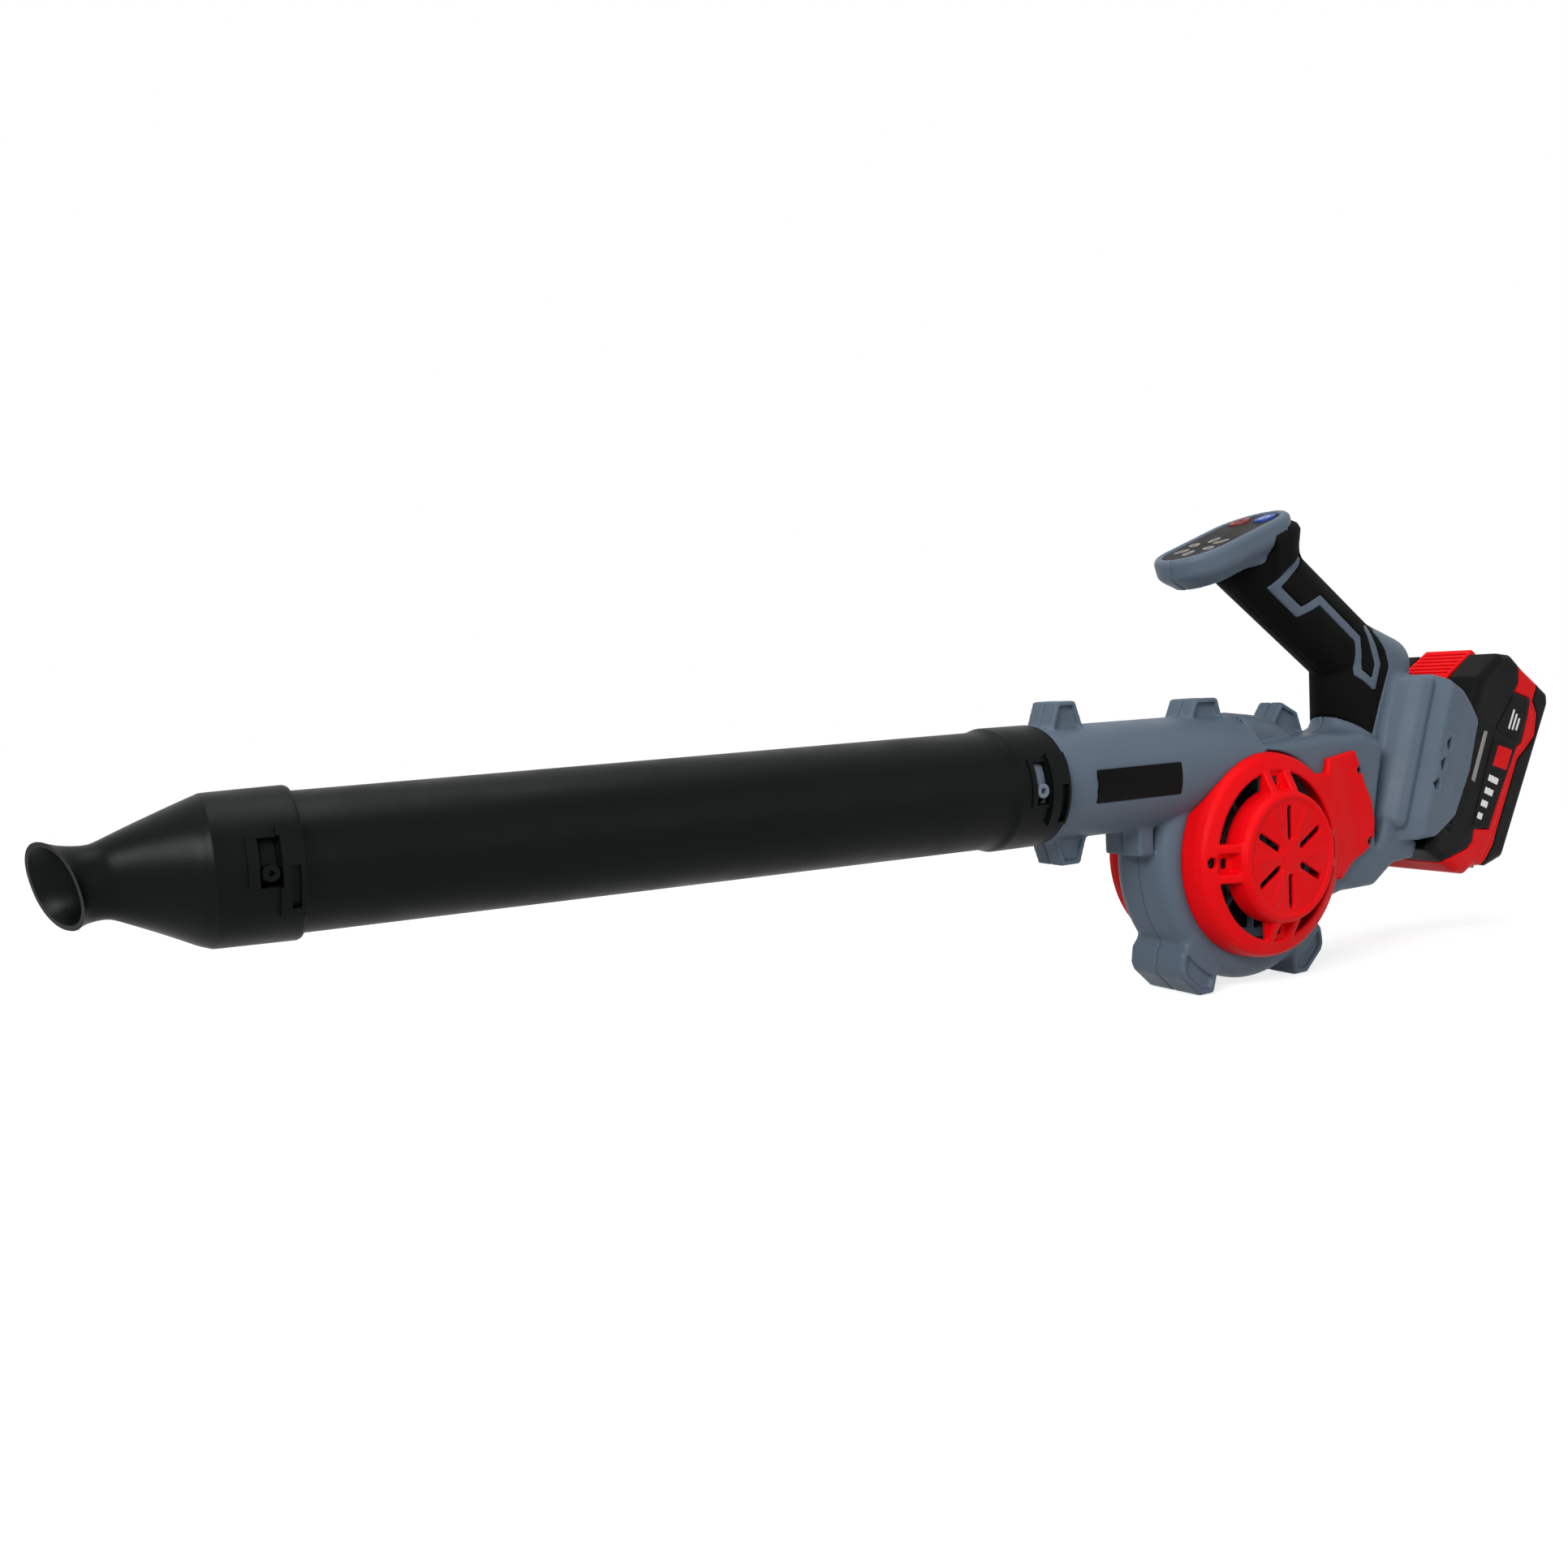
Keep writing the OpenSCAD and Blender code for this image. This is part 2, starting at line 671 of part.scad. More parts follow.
// ---- electronics in the rear block ----

module controller_board() {
    color([0.05, 0.3, 0.15]) placed() translate([69, -board_face, 8]) {
        cube([27, 1.6, 36]);
        translate([3, 1.6, 8]) cube([11, 6, 20]);
        translate([18, 1.6, 12]) cube([6, 3, 12]);
    }
}

module terminal_block() {
    color(black) placed() pack_frame() difference() {
        union() {
            translate([99.4 + 0.15, -18, 44.15]) cube([9.1, 36, 7.7]);
            translate([87, -7.8, 45.4]) cube([13, 15.6, 5.2]);
        }
        for (y = [-12, 0, 12]) translate([101.5, y - 0.6, 46]) cube([5, 1.2, 10]);
    }
}

module terminal_blades() {
    color(steel) placed() pack_frame() for (y = [-12, 0, 12]) translate([101.6, y - 0.5, 46]) cube([4.8, 1, 18]);
}

// ---- grip, trim and controls ----

module trim_area() {
    n = len(trim_pts);
    side_on() linear_extrude(height = 80, center = true) {
        for (i = [0:n - 2]) {
            d = trim_pts[i + 1] - trim_pts[i];
            translate(trim_pts[i]) rotate(atan2(d[1], d[0])) translate([0, -trim_w / 2]) square([norm(d), trim_w]);
        }
        for (i = [1:n - 2]) translate(trim_pts[i]) circle(trim_w / 2, $fn = 10);
    }
}

module grip() {
    difference() {
        intersection() {
            handle(handle_r);
            side_prism(grip_pts, 30);
        }
        handle(handle_r - grip_skin);
        head_solid();
        pack_frame() translate([0, 0, 30]) linear_extrude(height = 115) polygon(foot_pts);
        difference() {
            trim_area();
            handle(handle_r - trim_depth);
        }
    }
}

module trim() {
    difference() {
        intersection() {
            handle(handle_r);
            trim_area();
            side_prism(grip_pts, 30);
        }
        handle(handle_r - trim_depth);
        head_solid();
    }
}

module grip_left() {
    color(black) placed() near_half() grip();
}

module grip_right() {
    color(black) placed() far_half() grip();
}

module grip_trim_left() {
    color(grey) placed() near_half() trim();
}

module grip_trim_right() {
    color(grey) placed() far_half() trim();
}

module control_panel() {
    color(black) placed() head_frame() difference() {
        translate([0, 0, -panel_seat]) linear_extrude(height = 2.2) stadium(panel_w, head_half - panel_pocket - 4.6);
        for (s = [-1, 1]) translate([button_s, s * button_y, -5]) cylinder(h = 10, r = button_r + run_fit);
    }
}

module control_board() {
    color([0.05, 0.3, 0.15]) placed() head_frame() {
        translate([-29, -11, -board_floor]) cube([58, 22, 1.6]);
        for (s = [-1, 1]) translate([button_s, s * (button_y - 1), -board_floor + 1.6]) cylinder(h = 2.4, r = 1.8);
    }
}

module push_button() {
    translate([0, 0, -panel_seat]) cylinder(h = panel_seat + 0.4, r = button_r);
    translate([0, 0, -panel_seat - 1.6]) cylinder(h = 1.6, r = button_r + 0.35);
    translate([0, 0, -7.7]) cylinder(h = 4, r = 2.4);
}

module power_button() {
    color(red) placed() head_frame() translate([button_s, button_y, 0]) push_button();
}

module boost_button() {
    color([0.1, 0.3, 0.75]) placed() head_frame() translate([button_s, -button_y, 0]) push_button();
}

module indicator_petals() {
    color([0.8, 0.81, 0.83]) placed() head_frame() translate([petal_s, 0, -0.6]) {
        for (a = [0:60:300]) rotate([0, 0, a]) linear_extrude(height = 0.4) {
            translate([8, 0]) circle(1.7);
            translate([11, 0]) circle(2.5);
        }
    }
}

module duct_plate() {
    color(black) placed() ring_part(-111.7, -57.8, duct_r - 0.8 + run_fit / 2, duct_r + 0.2, -18.6, 14.1);
}

// A springy finger in a gap of the tube end; its boss shows in the window of the collar.
module finger(x, w, r, boss_r, boss_top) {
    difference() {
        union() {
            ring_part(x - w / 2, x + w / 2, r - 0.9, r + 0.9, -6, 44);
            translate([x - w / 2, -r * cos(44), duct_z + r * sin(44)]) rotate([0, 90, 0]) cylinder(h = w, r = 0.9);
            translate([x, -r + 0.6, duct_z]) side_on() cylinder(h = boss_top - r + 0.6, r = boss_r);
        }
        translate([x, -r - 1.2, duct_z]) side_on() cylinder(h = 20, r = boss_r - 1.8);
    }
}

// The gap in the tube end that leaves the finger free.
module finger_gap(x, r, boss_r) {
    ring_part(x - latch_w / 2 - gap, x + latch_w / 2 + gap, r - 6, r + 4, -9, 46.9);
    // The boss sinks a little as it is pressed in, so its hole is longer downward.
    hull() for (d = [0, 1.5]) {
        translate([x, -r + 6, duct_z - d]) side_on() cylinder(h = 12, r = boss_r + gap);
    }
}

module duct_latch() {
    color([0.45, 0.5, 0.55]) placed() finger(latch_x, latch_w, finger_r, boss_r, collar_r + 0.4);
}

module tube_latch() {
    color(black) placed() finger(front_latch_x, latch_w, front_finger_r, front_boss_r, sleeve_r + 0.2);
}

// ---- blow tube and nozzle ----

module blow_tube() {
    fit_r = spigot_r + run_fit;
    x_shoulder = -spigot_end - gap;
    color(black) placed() difference() {
        union() {
            along(x_shoulder, -duct_front - gap, collar_r, collar_r);
            along(x_shoulder - 5, x_shoulder, tube_r_rear, collar_r);
            along(-tube_reach, x_shoulder, tube_r_front + 0.4, tube_r_rear);
            along(-tube_reach - 24, -tube_reach, front_spigot_r, front_spigot_r);
            ring_part(-142, -131.5, spigot_r + 1, collar_r + 2, -33, 33);
        }
        along(x_shoulder, 0, fit_r, fit_r);
        along(-tube_reach, x_shoulder + 1, front_spigot_r - tube_wall, tube_r_rear - tube_wall);
        along(-tube_reach - 30, -tube_reach + 1, front_spigot_r - tube_wall, front_spigot_r - tube_wall);
        ring_part(latch_x - 3.5, latch_x + 3.5, spigot_r - 2, 40, -12.5, 26.5);
        ring_part(-137, -133, collar_r, 40, -30, 4);
        finger_gap(front_latch_x, front_finger_r, front_boss_r);
    }
}

module mouth_shape(high, wide, r) {
    union() {
        square([high - 2 * r, wide], center = true);
        square([high, wide - 2 * r], center = true);
        for (a = [-1, 1]) for (b = [-1, 1]) translate([a * (high / 2 - r), b * (wide / 2 - r)]) circle(r, $fn = 24);
    }
}

module nozzle_slice(x, high, wide, r) {
    translate([x, 0, duct_z]) rotate([0, 90, 0]) linear_extrude(height = 0.4) mouth_shape(high, wide, r);
}

module nozzle() {
    x0 = -sleeve_back;
    x1 = x0 - 28;
    x2 = x1 - 37;
    x3 = -nozzle_tip;
    t = 1.4;
    seat_r = front_spigot_r + run_fit;
    color(black) placed() difference() {
        union() {
            along(x1, x0, sleeve_r - 0.8, sleeve_r);
            ring_part(x0 - 9, x0 - 0.8, sleeve_r - 1, sleeve_r + 2, -33, 33);
            hull() {
                along(x1, x1 + 0.4, sleeve_r - 0.8, sleeve_r - 0.8);
                nozzle_slice(x2, mouth_high - 5, mouth_wide - 4, 8);
            }
            hull() {
                nozzle_slice(x2, mouth_high - 5, mouth_wide - 4, 8);
                nozzle_slice(x3, mouth_high, mouth_wide, 8.5);
            }
        }
        along(-tube_reach - 24 - gap, x0 + 1, seat_r, seat_r);
        hull() {
            along(-tube_reach - 25, -tube_reach - 23, front_spigot_r - tube_wall, front_spigot_r - tube_wall);
            nozzle_slice(x2, mouth_high - 5 - 2 * t, mouth_wide - 4 - 2 * t, 6.8);
        }
        hull() {
            nozzle_slice(x2, mouth_high - 5 - 2 * t, mouth_wide - 4 - 2 * t, 6.8);
            nozzle_slice(x3 - 1, mouth_high - 2 * t, mouth_wide - 2 * t, 7.2);
        }
        translate([x3, mouth_wide / 2 + 1, 0]) rotate([0, 0, 23]) translate([-60, -60, 0]) cube([60, 90, 100]);
        ring_part(front_latch_x - 3.5, front_latch_x + 3.5, front_spigot_r - 2, 40, -10.5, 25);
        ring_part(x0 - 5.5, x0 - 2.5, sleeve_r, 40, -26, 4);
    }
}

// ---- battery ----

module pack_solid() {
    hull() {
        pack_prism(pack_pts, pack_half - 3);
        pack_prism(inset(pack_pts, 2.4), pack_half);
    }
}

module pack_hollow() {
    pack_frame() translate([113.6, -33.3, 57]) cube([53, 66.6, 101]);
}

module release_pocket(g) {
    pack_prism([[100, 146 - g], [115.5, 146 - g], [119.2 + g, 152], [131.2 + g, 168.5 - g], [131.2 + g, 180], [100, 180]], 15 + g);
}

module battery_case() {
    color(black) placed() difference() {
        intersection() {
            pack_solid();
            pack_prism(case_pts, 60);
        }
        pack_hollow();
        release_pocket(gap);
    }
}

module battery_band() {
    color(red) placed() difference() {
        pack_solid();
        pack_prism(case_pts, 60);
        pack_prism(cap_pts, 60);
        pack_hollow();
    }
}

module battery_cap() {
    color(black) placed() difference() {
        intersection() {
            pack_solid();
            pack_prism(cap_pts, 60);
        }
        pack_hollow();
    }
}

module battery_release() {
    color(red) placed() difference() {
        pack_prism([[109, 146], [113, 146], [117, 152], [129, 168.5], [126.5, 173.5], [122.5, 172], [109.5, 151.5]], 15);
        pack_frame() for (i = [0:4]) {
            translate([110.6 + 2.09 * i, 0, 153.3 + 3.3 * i]) rotate([0, -32, 0]) translate([-2, -16, -0.6]) cube([2.8, 32, 1.2]);
        }
    }
}

module battery_rails() {
    color(black) placed() pack_frame() difference() {
        union() {
            translate([channel_floor + gap, -rail_head, rail_low]) cube([rail_step - channel_floor - gap, 2 * rail_head, rail_high - rail_low]);
            translate([rail_step - 1, -rail_neck, rail_low]) cube([pack_front - rail_step + 1, 2 * rail_neck, rail_high - rail_low]);
        }
        for (y = [-12, 0, 12]) translate([101, y - 1, rail_low - 1]) cube([6, 2, 15]);
    }
}

cell_spots = [for (i = [0:4]) for (j = [0, 1]) [126.5 + 20 * j, 68.5 + 19.5 * i]];

module battery_cells() {
    color([0.2, 0.45, 0.7]) placed() pack_frame() side_on()
        for (p = cell_spots) translate([p[0], p[1], 0]) cylinder(h = cell_length, r = cell_r, center = true);
}

module cell_holders() {
    color(grey) placed() pack_frame() side_on() for (s = [-1, 1]) difference() {
        translate([115.2, 57, s * 26 - 3]) cube([46, 101, 6]);
        for (p = cell_spots) translate([p[0], p[1], 0]) cylinder(h = 80, r = cell_r + run_fit, center = true);
    }
}

module battery_board() {
    color([0.05, 0.3, 0.15]) placed() pack_frame() translate([113.6, -30, 60]) cube([1.6, 60, 83]);
}

module label_plates() {
    color([0.16, 0.16, 0.17]) placed() pack_frame() side_on() translate([0, 0, pack_half]) linear_extrude(height = 0.4) {
        polygon([[138, 155.5], [154, 155], [160.5, 150], [161, 144.5], [149.5, 132], [131, 124]]);
        polygon([[131, 120], [149.5, 128], [153, 131], [153.5, 86], [134, 82]]);
    }
}

module battery_strip() {
    color([0.75, 0.76, 0.78]) placed() pack_frame() side_on() translate([0, 0, pack_half]) linear_extrude(height = 0.4)
        polygon([[123.4, 96], [127, 97], [127, 124], [123.4, 125]]);
}

// ---- screws ----

module cover_screws() {
    color(steel) placed() both_sides() {
        for (p = tab_screws) translate([p[0], -block_half - 2.5, p[1]]) side_on() {
            cylinder(h = 1.6, r = 3);
            translate([0, 0, -14]) cylinder(h = 14.5, r = 1.5);
        }
        translate([ring_screw[0], -30.6, ring_screw[1]]) side_on() {
            cylinder(h = 1.6, r = 2.6);
            translate([0, 0, -12]) cylinder(h = 12.5, r = 1.5);
        }
    }
}

module housing_screws() {
    color(steel) placed() for (p = case_screws) translate([p[0], 6.3, p[1]]) rotate([-90, 0, 0]) {
        cylinder(h = 1.8, r = 2.9);
        translate([0, 0, -10.6]) cylinder(h = 10.9, r = 1.5);
    }
}

housing_left();
housing_right();
intake_cover_left();
intake_cover_right();
finger_guard_left();
motor_bracket();
motor_can();
motor_endbell();
stator();
windings();
motor_rotor();
bearings();
impeller();
controller_board();
terminal_block();
terminal_blades();
grip_left();
grip_right();
grip_trim_left();
grip_trim_right();
control_panel();
control_board();
power_button();
boost_button();
indicator_petals();
duct_plate();
duct_latch();
blow_tube();
tube_latch();
nozzle();
battery_case();
battery_band();
battery_cap();
battery_release();
battery_rails();
battery_cells();
cell_holders();
battery_board();
label_plates();
battery_strip();
cover_screws();
housing_screws();
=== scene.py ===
# %% [markdown]
# # A cordless leaf blower, dressed for its portrait
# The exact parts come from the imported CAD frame. This lesson builds the moulded
# surfaces that a viewer sees, lays them over those parts, and lights the result.
# Every length below is in millimetres measured from the fan axis; one function
# turns them into the metres of the shared frame.

# %% Tools and the frame
import itertools
import json
import math
import bpy
import numpy as np
from mathutils import Matrix


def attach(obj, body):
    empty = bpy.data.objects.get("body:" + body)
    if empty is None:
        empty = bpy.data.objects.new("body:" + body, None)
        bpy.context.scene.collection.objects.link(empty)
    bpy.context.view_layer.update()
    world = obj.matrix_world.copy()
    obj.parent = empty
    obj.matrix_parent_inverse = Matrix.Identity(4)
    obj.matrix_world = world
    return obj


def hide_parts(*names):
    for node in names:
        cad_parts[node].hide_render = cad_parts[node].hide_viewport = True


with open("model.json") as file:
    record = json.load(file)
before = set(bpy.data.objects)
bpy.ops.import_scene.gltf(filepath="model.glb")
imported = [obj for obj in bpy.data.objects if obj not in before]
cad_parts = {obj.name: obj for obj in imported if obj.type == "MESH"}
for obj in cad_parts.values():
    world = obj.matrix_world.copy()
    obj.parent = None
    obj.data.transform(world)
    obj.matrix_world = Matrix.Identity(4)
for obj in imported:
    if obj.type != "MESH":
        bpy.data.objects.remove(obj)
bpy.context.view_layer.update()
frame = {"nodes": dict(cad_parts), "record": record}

# %% [markdown]
# ## Numbers that everything shares
# The fan axis is the natural origin for drawing. `SHIFT` moves it to its place in
# the shared frame. The other values are the same ones that shape the exact parts.

# %% Shared numbers
PACK_LEAN = math.radians(28.0)
HEAD_LEAN = math.radians(19.6)
TIP = 542.0
BACK = 177.5 * math.cos(PACK_LEAN) + 166.0 * math.sin(PACK_LEAN)
AXIS_HEIGHT = 67.5
SHIFT = np.array([(TIP - BACK) / 2.0, 0.0, AXIS_HEIGHT])
DUCT_Z = 44.0


def to_row(points):
    """Metres in the shared frame: row = (p + SHIFT) / 1000, for p in millimetres."""
    return (np.asarray(points, float) + SHIFT) / 1000.0


def linear(r, g, b):
    """Linear colour of an sRGB triple: ((c/255 + 0.055)/1.055)^2.4, or c/255/12.92 when dark."""
    c = np.array([r, g, b]) / 255.0
    out = np.where(c > 0.04045, ((c + 0.055) / 1.055) ** 2.4, c / 12.92)
    return (float(out[0]), float(out[1]), float(out[2]), 1.0)


print("fan axis stands at", to_row([0, 0, 0]).round(4), "metres")

# %% [markdown]
# ## Node helpers
# Every material, the floor and the world are small node trees. Two helpers keep
# them short: one makes a node with its values, one draws the wires between nodes.

# %% Node helpers
def node(tree, kind, values=None, **settings):
    """One shader node: its settings first, then the starting values of its inputs."""
    made = tree.nodes.new("ShaderNode" + kind)
    for key, value in settings.items():
        setattr(made, key, value)
    for key, value in (values or {}).items():
        made.inputs[key].default_value = value
    return made


def wire(tree, *links):
    """Draws wires; each link is (from node, its output, to node, its input)."""
    for a, leaves, b, enters in links:
        tree.links.new(a.outputs[leaves], b.inputs[enters])


def empty_tree(owner):
    """The cleared node tree of a material or a world."""
    owner.use_nodes = True
    owner.node_tree.nodes.clear()
    return owner.node_tree


print("node helpers ready")

# %% [markdown]
# ## Materials
# Moulded plastic is never quite smooth or quite even. Fine noise drives a bump for
# the moulded grain, a broader noise shifts the roughness, and a very broad one
# dulls the colour a little where hands and dust reach.

# %% One finish
MATERIALS = {}
DUST = (0.22, 0.21, 0.19, 1.0)
GRAIN_DEPTH = 0.0004
ROUGH_VARY = 0.08


def finish(name, colour, rough, grain=700.0, bump=0.12, soil=0.06, metal=0.0, spec=0.5):
    """Plastic, rubber or metal: roughness = rough +- ROUGH_VARY by broad noise, colour mixed with dust."""
    m = bpy.data.materials.new(name)
    t = empty_tree(m)
    dull, shiny = min(1.0, rough + ROUGH_VARY), max(0.02, rough - ROUGH_VARY)
    out = node(t, "OutputMaterial")
    skin = node(t, "BsdfPrincipled", {
        "Base Color": colour, "Roughness": rough, "Metallic": metal, "Specular IOR Level": spec})
    co = node(t, "TexCoord")
    fine = node(t, "TexNoise", {"Scale": grain, "Detail": 4.0, "Roughness": 0.6})
    ridges = node(t, "Bump", {"Strength": bump, "Distance": GRAIN_DEPTH})
    broad = node(t, "TexNoise", {"Scale": 38.0, "Detail": 5.0})
    gloss = node(t, "MapRange", {"From Min": 0.3, "From Max": 0.7, "To Min": shiny, "To Max": dull})
    wide = node(t, "TexNoise", {"Scale": 11.0, "Detail": 6.0})
    reach = node(t, "MapRange", {"From Min": 0.45, "From Max": 0.8, "To Min": 0.0, "To Max": soil})
    mix = node(t, "Mix", {"A": colour, "B": DUST}, data_type="RGBA")
    wire(t, (skin, "BSDF", out, "Surface"), (co, "Object", fine, "Vector"), (co, "Object", broad, "Vector"),
         (co, "Object", wide, "Vector"), (fine, "Fac", ridges, "Height"), (ridges, "Normal", skin, "Normal"),
         (broad, "Fac", gloss, "Value"), (gloss, "Result", skin, "Roughness"), (wide, "Fac", reach, "Value"),
         (reach, "Result", mix, "Factor"), (mix, "Result", skin, "Base Color"))
    MATERIALS[name] = m


print("roughness varies by", ROUGH_VARY, "either way")

# %% [markdown]
# The blacks are almost free of shine, as fine-grained mouldings are. Rubber has a deeper and finer grain than
# the plastics. Metals serve the motor, the screws and the terminals. SLOT_OF lists the nearest exact slot for
# each finish that only made pieces wear.

# %% All finishes
finish("grey_housing", linear(84, 98, 112), 0.5, soil=0.02, spec=0.22)
finish("red_cover", linear(232, 0, 10), 0.55, soil=0.01, spec=0.12)
finish("soft_grip", linear(12, 12, 11), 0.8, grain=1500.0, bump=0.35, soil=0.005, spec=0.06)
finish("tube_black", linear(8, 11, 11), 0.42, grain=900.0, bump=0.1, soil=0.004, spec=0.07)
finish("pack_black", linear(11, 12, 12), 0.5, soil=0.004, spec=0.06)
finish("pack_red", linear(222, 0, 8), 0.52, soil=0.01, spec=0.14)
finish("latch_grey", linear(98, 110, 122), 0.5)
finish("blue_button", linear(14, 62, 150), 0.4, spec=0.25)
finish("power_red", linear(126, 30, 32), 0.45, spec=0.25)
finish("panel_black", linear(10, 10, 9), 0.5, bump=0.05, soil=0.004, spec=0.06)
finish("silver_print", linear(132, 130, 126), 0.45)
finish("lamp_grey", linear(58, 56, 54), 0.4)
finish("white_print", linear(236, 237, 238), 0.5, bump=0.02, soil=0.0)
finish("mark_dark", linear(46, 10, 12), 0.5, spec=0.2)
finish("mark_pale", linear(190, 205, 228), 0.4)
finish("bare_plate", linear(4, 4, 6), 0.4, bump=0.02, soil=0.0, spec=0.05)
# Darkened steel for the screw heads: painted shade for the holes that they sit in.
finish("screw_painted_shade", linear(52, 52, 54), 0.4, metal=1.0)
finish("steel", linear(120, 122, 126), 0.4, metal=1.0)
finish("lamination", linear(110, 112, 116), 0.45, metal=1.0)
finish("copper", linear(190, 110, 60), 0.35, metal=1.0)
finish("board_green", linear(20, 80, 45), 0.4)
finish("cell_wrap", linear(60, 110, 170), 0.4)
SLOT_OF = {
    "power_red": "red_cover", "panel_black": "pack_black", "lamp_grey": "silver_print",
    "white_print": "silver_print", "mark_dark": "pack_black", "mark_pale": "silver_print",
    "screw_painted_shade": "steel",
}

for part in frame["record"]["subparts"]:
    exact = frame["nodes"][part["node"]]
    exact.data.materials.clear()
    exact.data.materials.append(MATERIALS[part["material_slot"]])
print(len(MATERIALS), "finishes on", len(frame["nodes"]), "exact parts")

# %% [markdown]
# ## From numbers to a mesh
# Turned pieces, such as the tube, come from a grid of stations and angles. Moulded
# pieces come from a signed distance. Both end here, as rows of points and of quads.

# %% Making a piece
def piece(name, points, quads, body, material, hides=(), crease=None):
    """A mesh object at the origin; points in millimetres, quads as rows of four point numbers."""
    mesh = bpy.data.meshes.new(name)
    v = to_row(points).astype(np.float32)
    q = np.asarray(quads, np.int32)
    mesh.vertices.add(len(v))
    mesh.vertices.foreach_set("co", v.ravel())
    mesh.loops.add(q.size)
    mesh.loops.foreach_set("vertex_index", q.ravel())
    mesh.polygons.add(len(q))
    mesh.polygons.foreach_set("loop_start", np.arange(0, q.size, q.shape[1], dtype=np.int32))
    mesh.update(calc_edges=True)
    mesh.validate()
    mesh.polygons.foreach_set("use_smooth", np.ones(len(mesh.polygons), dtype=bool))
    if crease:
        mesh.set_sharp_from_angle(angle=math.radians(crease))
    mesh.materials.append(MATERIALS[material])
    o = bpy.data.objects.new(name, mesh)
    bpy.context.scene.collection.objects.link(o)
    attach(o, body)
    SLOT_OF.get(material, material)
    if hides:
        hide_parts(*hides)
    print(name, len(v), "points,", len(q), "quads")
    return o


def mirrored(points, quads, side):
    """Turns (x, h, z) into (x, y, z) with y = side * h; a mirror also turns the quads round."""
    p = points.copy()
    p[:, 1] *= side
    return p, (quads if side > 0 else quads[:, ::-1])


def gathered(parts):
    """Many small closed meshes as one: point numbers are shifted by the count before them."""
    base, points, quads = 0, [], []
    for p, q in parts:
        points.append(p)
        quads.append(q + base)
        base += len(p)
    return np.concatenate(points), np.concatenate(quads)


SIDES = ((-1, "left"), (1, "right"))
print("pieces can be made")

# %% [markdown]
# ## Signed distances
# A signed distance is negative inside a solid, zero on its skin and positive
# outside. Solids are joined by taking the smaller of two distances, and cut by
# taking the larger of one and minus the other. Rounding both gives the fillets
# that a mould needs.

# %% Distances
def join(a, b, k=0.0):
    """min(a, b), rounded over a width k: m - h^2 k / 4 with h = max(k - |a - b|, 0) / k."""
    if k <= 0:
        return np.minimum(a, b)
    h = np.maximum(k - np.abs(a - b), 0.0) / k
    return np.minimum(a, b) - h * h * k * 0.25


def both(a, b, k=0.0):
    """max(a, b), the part that two solids share, rounded over a width k."""
    return -join(-a, -b, k)


def box(p, half_p, q, half_q):
    """A square-cornered outline: max(|p| - half_p, |q| - half_q)."""
    return np.maximum(np.abs(p) - half_p, np.abs(q) - half_q)


def poly(points):
    """Signed distance to a closed polygon: the nearest edge, negative inside.

    A point is inside when a ray from it crosses the edges an odd number of times."""
    pts = [tuple(map(float, p)) for p in points]

    def distance(x, z):
        x, z = np.broadcast_arrays(np.asarray(x, np.float32), np.asarray(z, np.float32))
        best = np.full(x.shape, 1e9, np.float32)
        sign = np.ones(x.shape, np.float32)
        for (ax, az), (bx, bz) in zip(pts, pts[1:] + pts[:1]):
            ex, ez = bx - ax, bz - az
            wx, wz = x - ax, z - az
            s = np.clip((wx * ex + wz * ez) / (ex * ex + ez * ez), 0.0, 1.0)
            best = np.minimum(best, (wx - ex * s) ** 2 + (wz - ez * s) ** 2)
            up, down, left = z >= az, z < bz, ex * wz > ez * wx
            flip = (up & down & left) | (~up & ~down & ~left)
            sign = np.where(flip, -sign, sign)
        return sign * np.sqrt(best)

    return distance


def slab(d2, h, half, edge):
    """A flat outline d2 given thickness: |h| <= half, with its two rims rounded by radius edge."""
    a, b = d2 + edge, np.abs(h) - half + edge
    return np.minimum(np.maximum(a, b), 0.0) + np.hypot(np.maximum(a, 0.0), np.maximum(b, 0.0)) - edge


print("a rounded join of 1 and 1 over 2 is", float(join(1.0, 1.0, 2.0)))

# %% [markdown]
# ## Taking the skin off a grid of distances
# The distance is known at the corners of small cells. Where its sign changes along
# a cell's edge, the surface passes. Each crossed cell gets one point, the mean of
# its crossings, and each crossed edge gets one quad between the four cells that
# share it. Two Newton steps then settle the points on the skin.

# %% Skin tools
def crossings(f, inside):
    """For each cell: how many of its edges are crossed, and the sum of the places, 0 to 1 along each axis."""
    n = f.shape
    total = np.zeros([m - 1 for m in n], np.float32)
    where = np.zeros([m - 1 for m in n] + [3], np.float32)
    for axis in range(3):
        first, second = [a for a in range(3) if a != axis]
        for da, db in itertools.product((0, 1), repeat=2):
            near, far = [0, 0, 0], [0, 0, 0]
            near[first] = far[first] = da
            near[second] = far[second] = db
            far[axis] = 1
            p, q = (tuple(slice(o[a], n[a] - 1 + o[a]) for a in range(3)) for o in (near, far))
            crosses = inside[p] != inside[q]
            fp, fq = f[p], f[q]
            total += crosses
            where[..., axis] += np.where(crosses, fp / np.where(crosses, fp - fq, 1.0), 0.0)
            where[..., first] += np.where(crosses, da, 0.0)
            where[..., second] += np.where(crosses, db, 0.0)
    return total, where


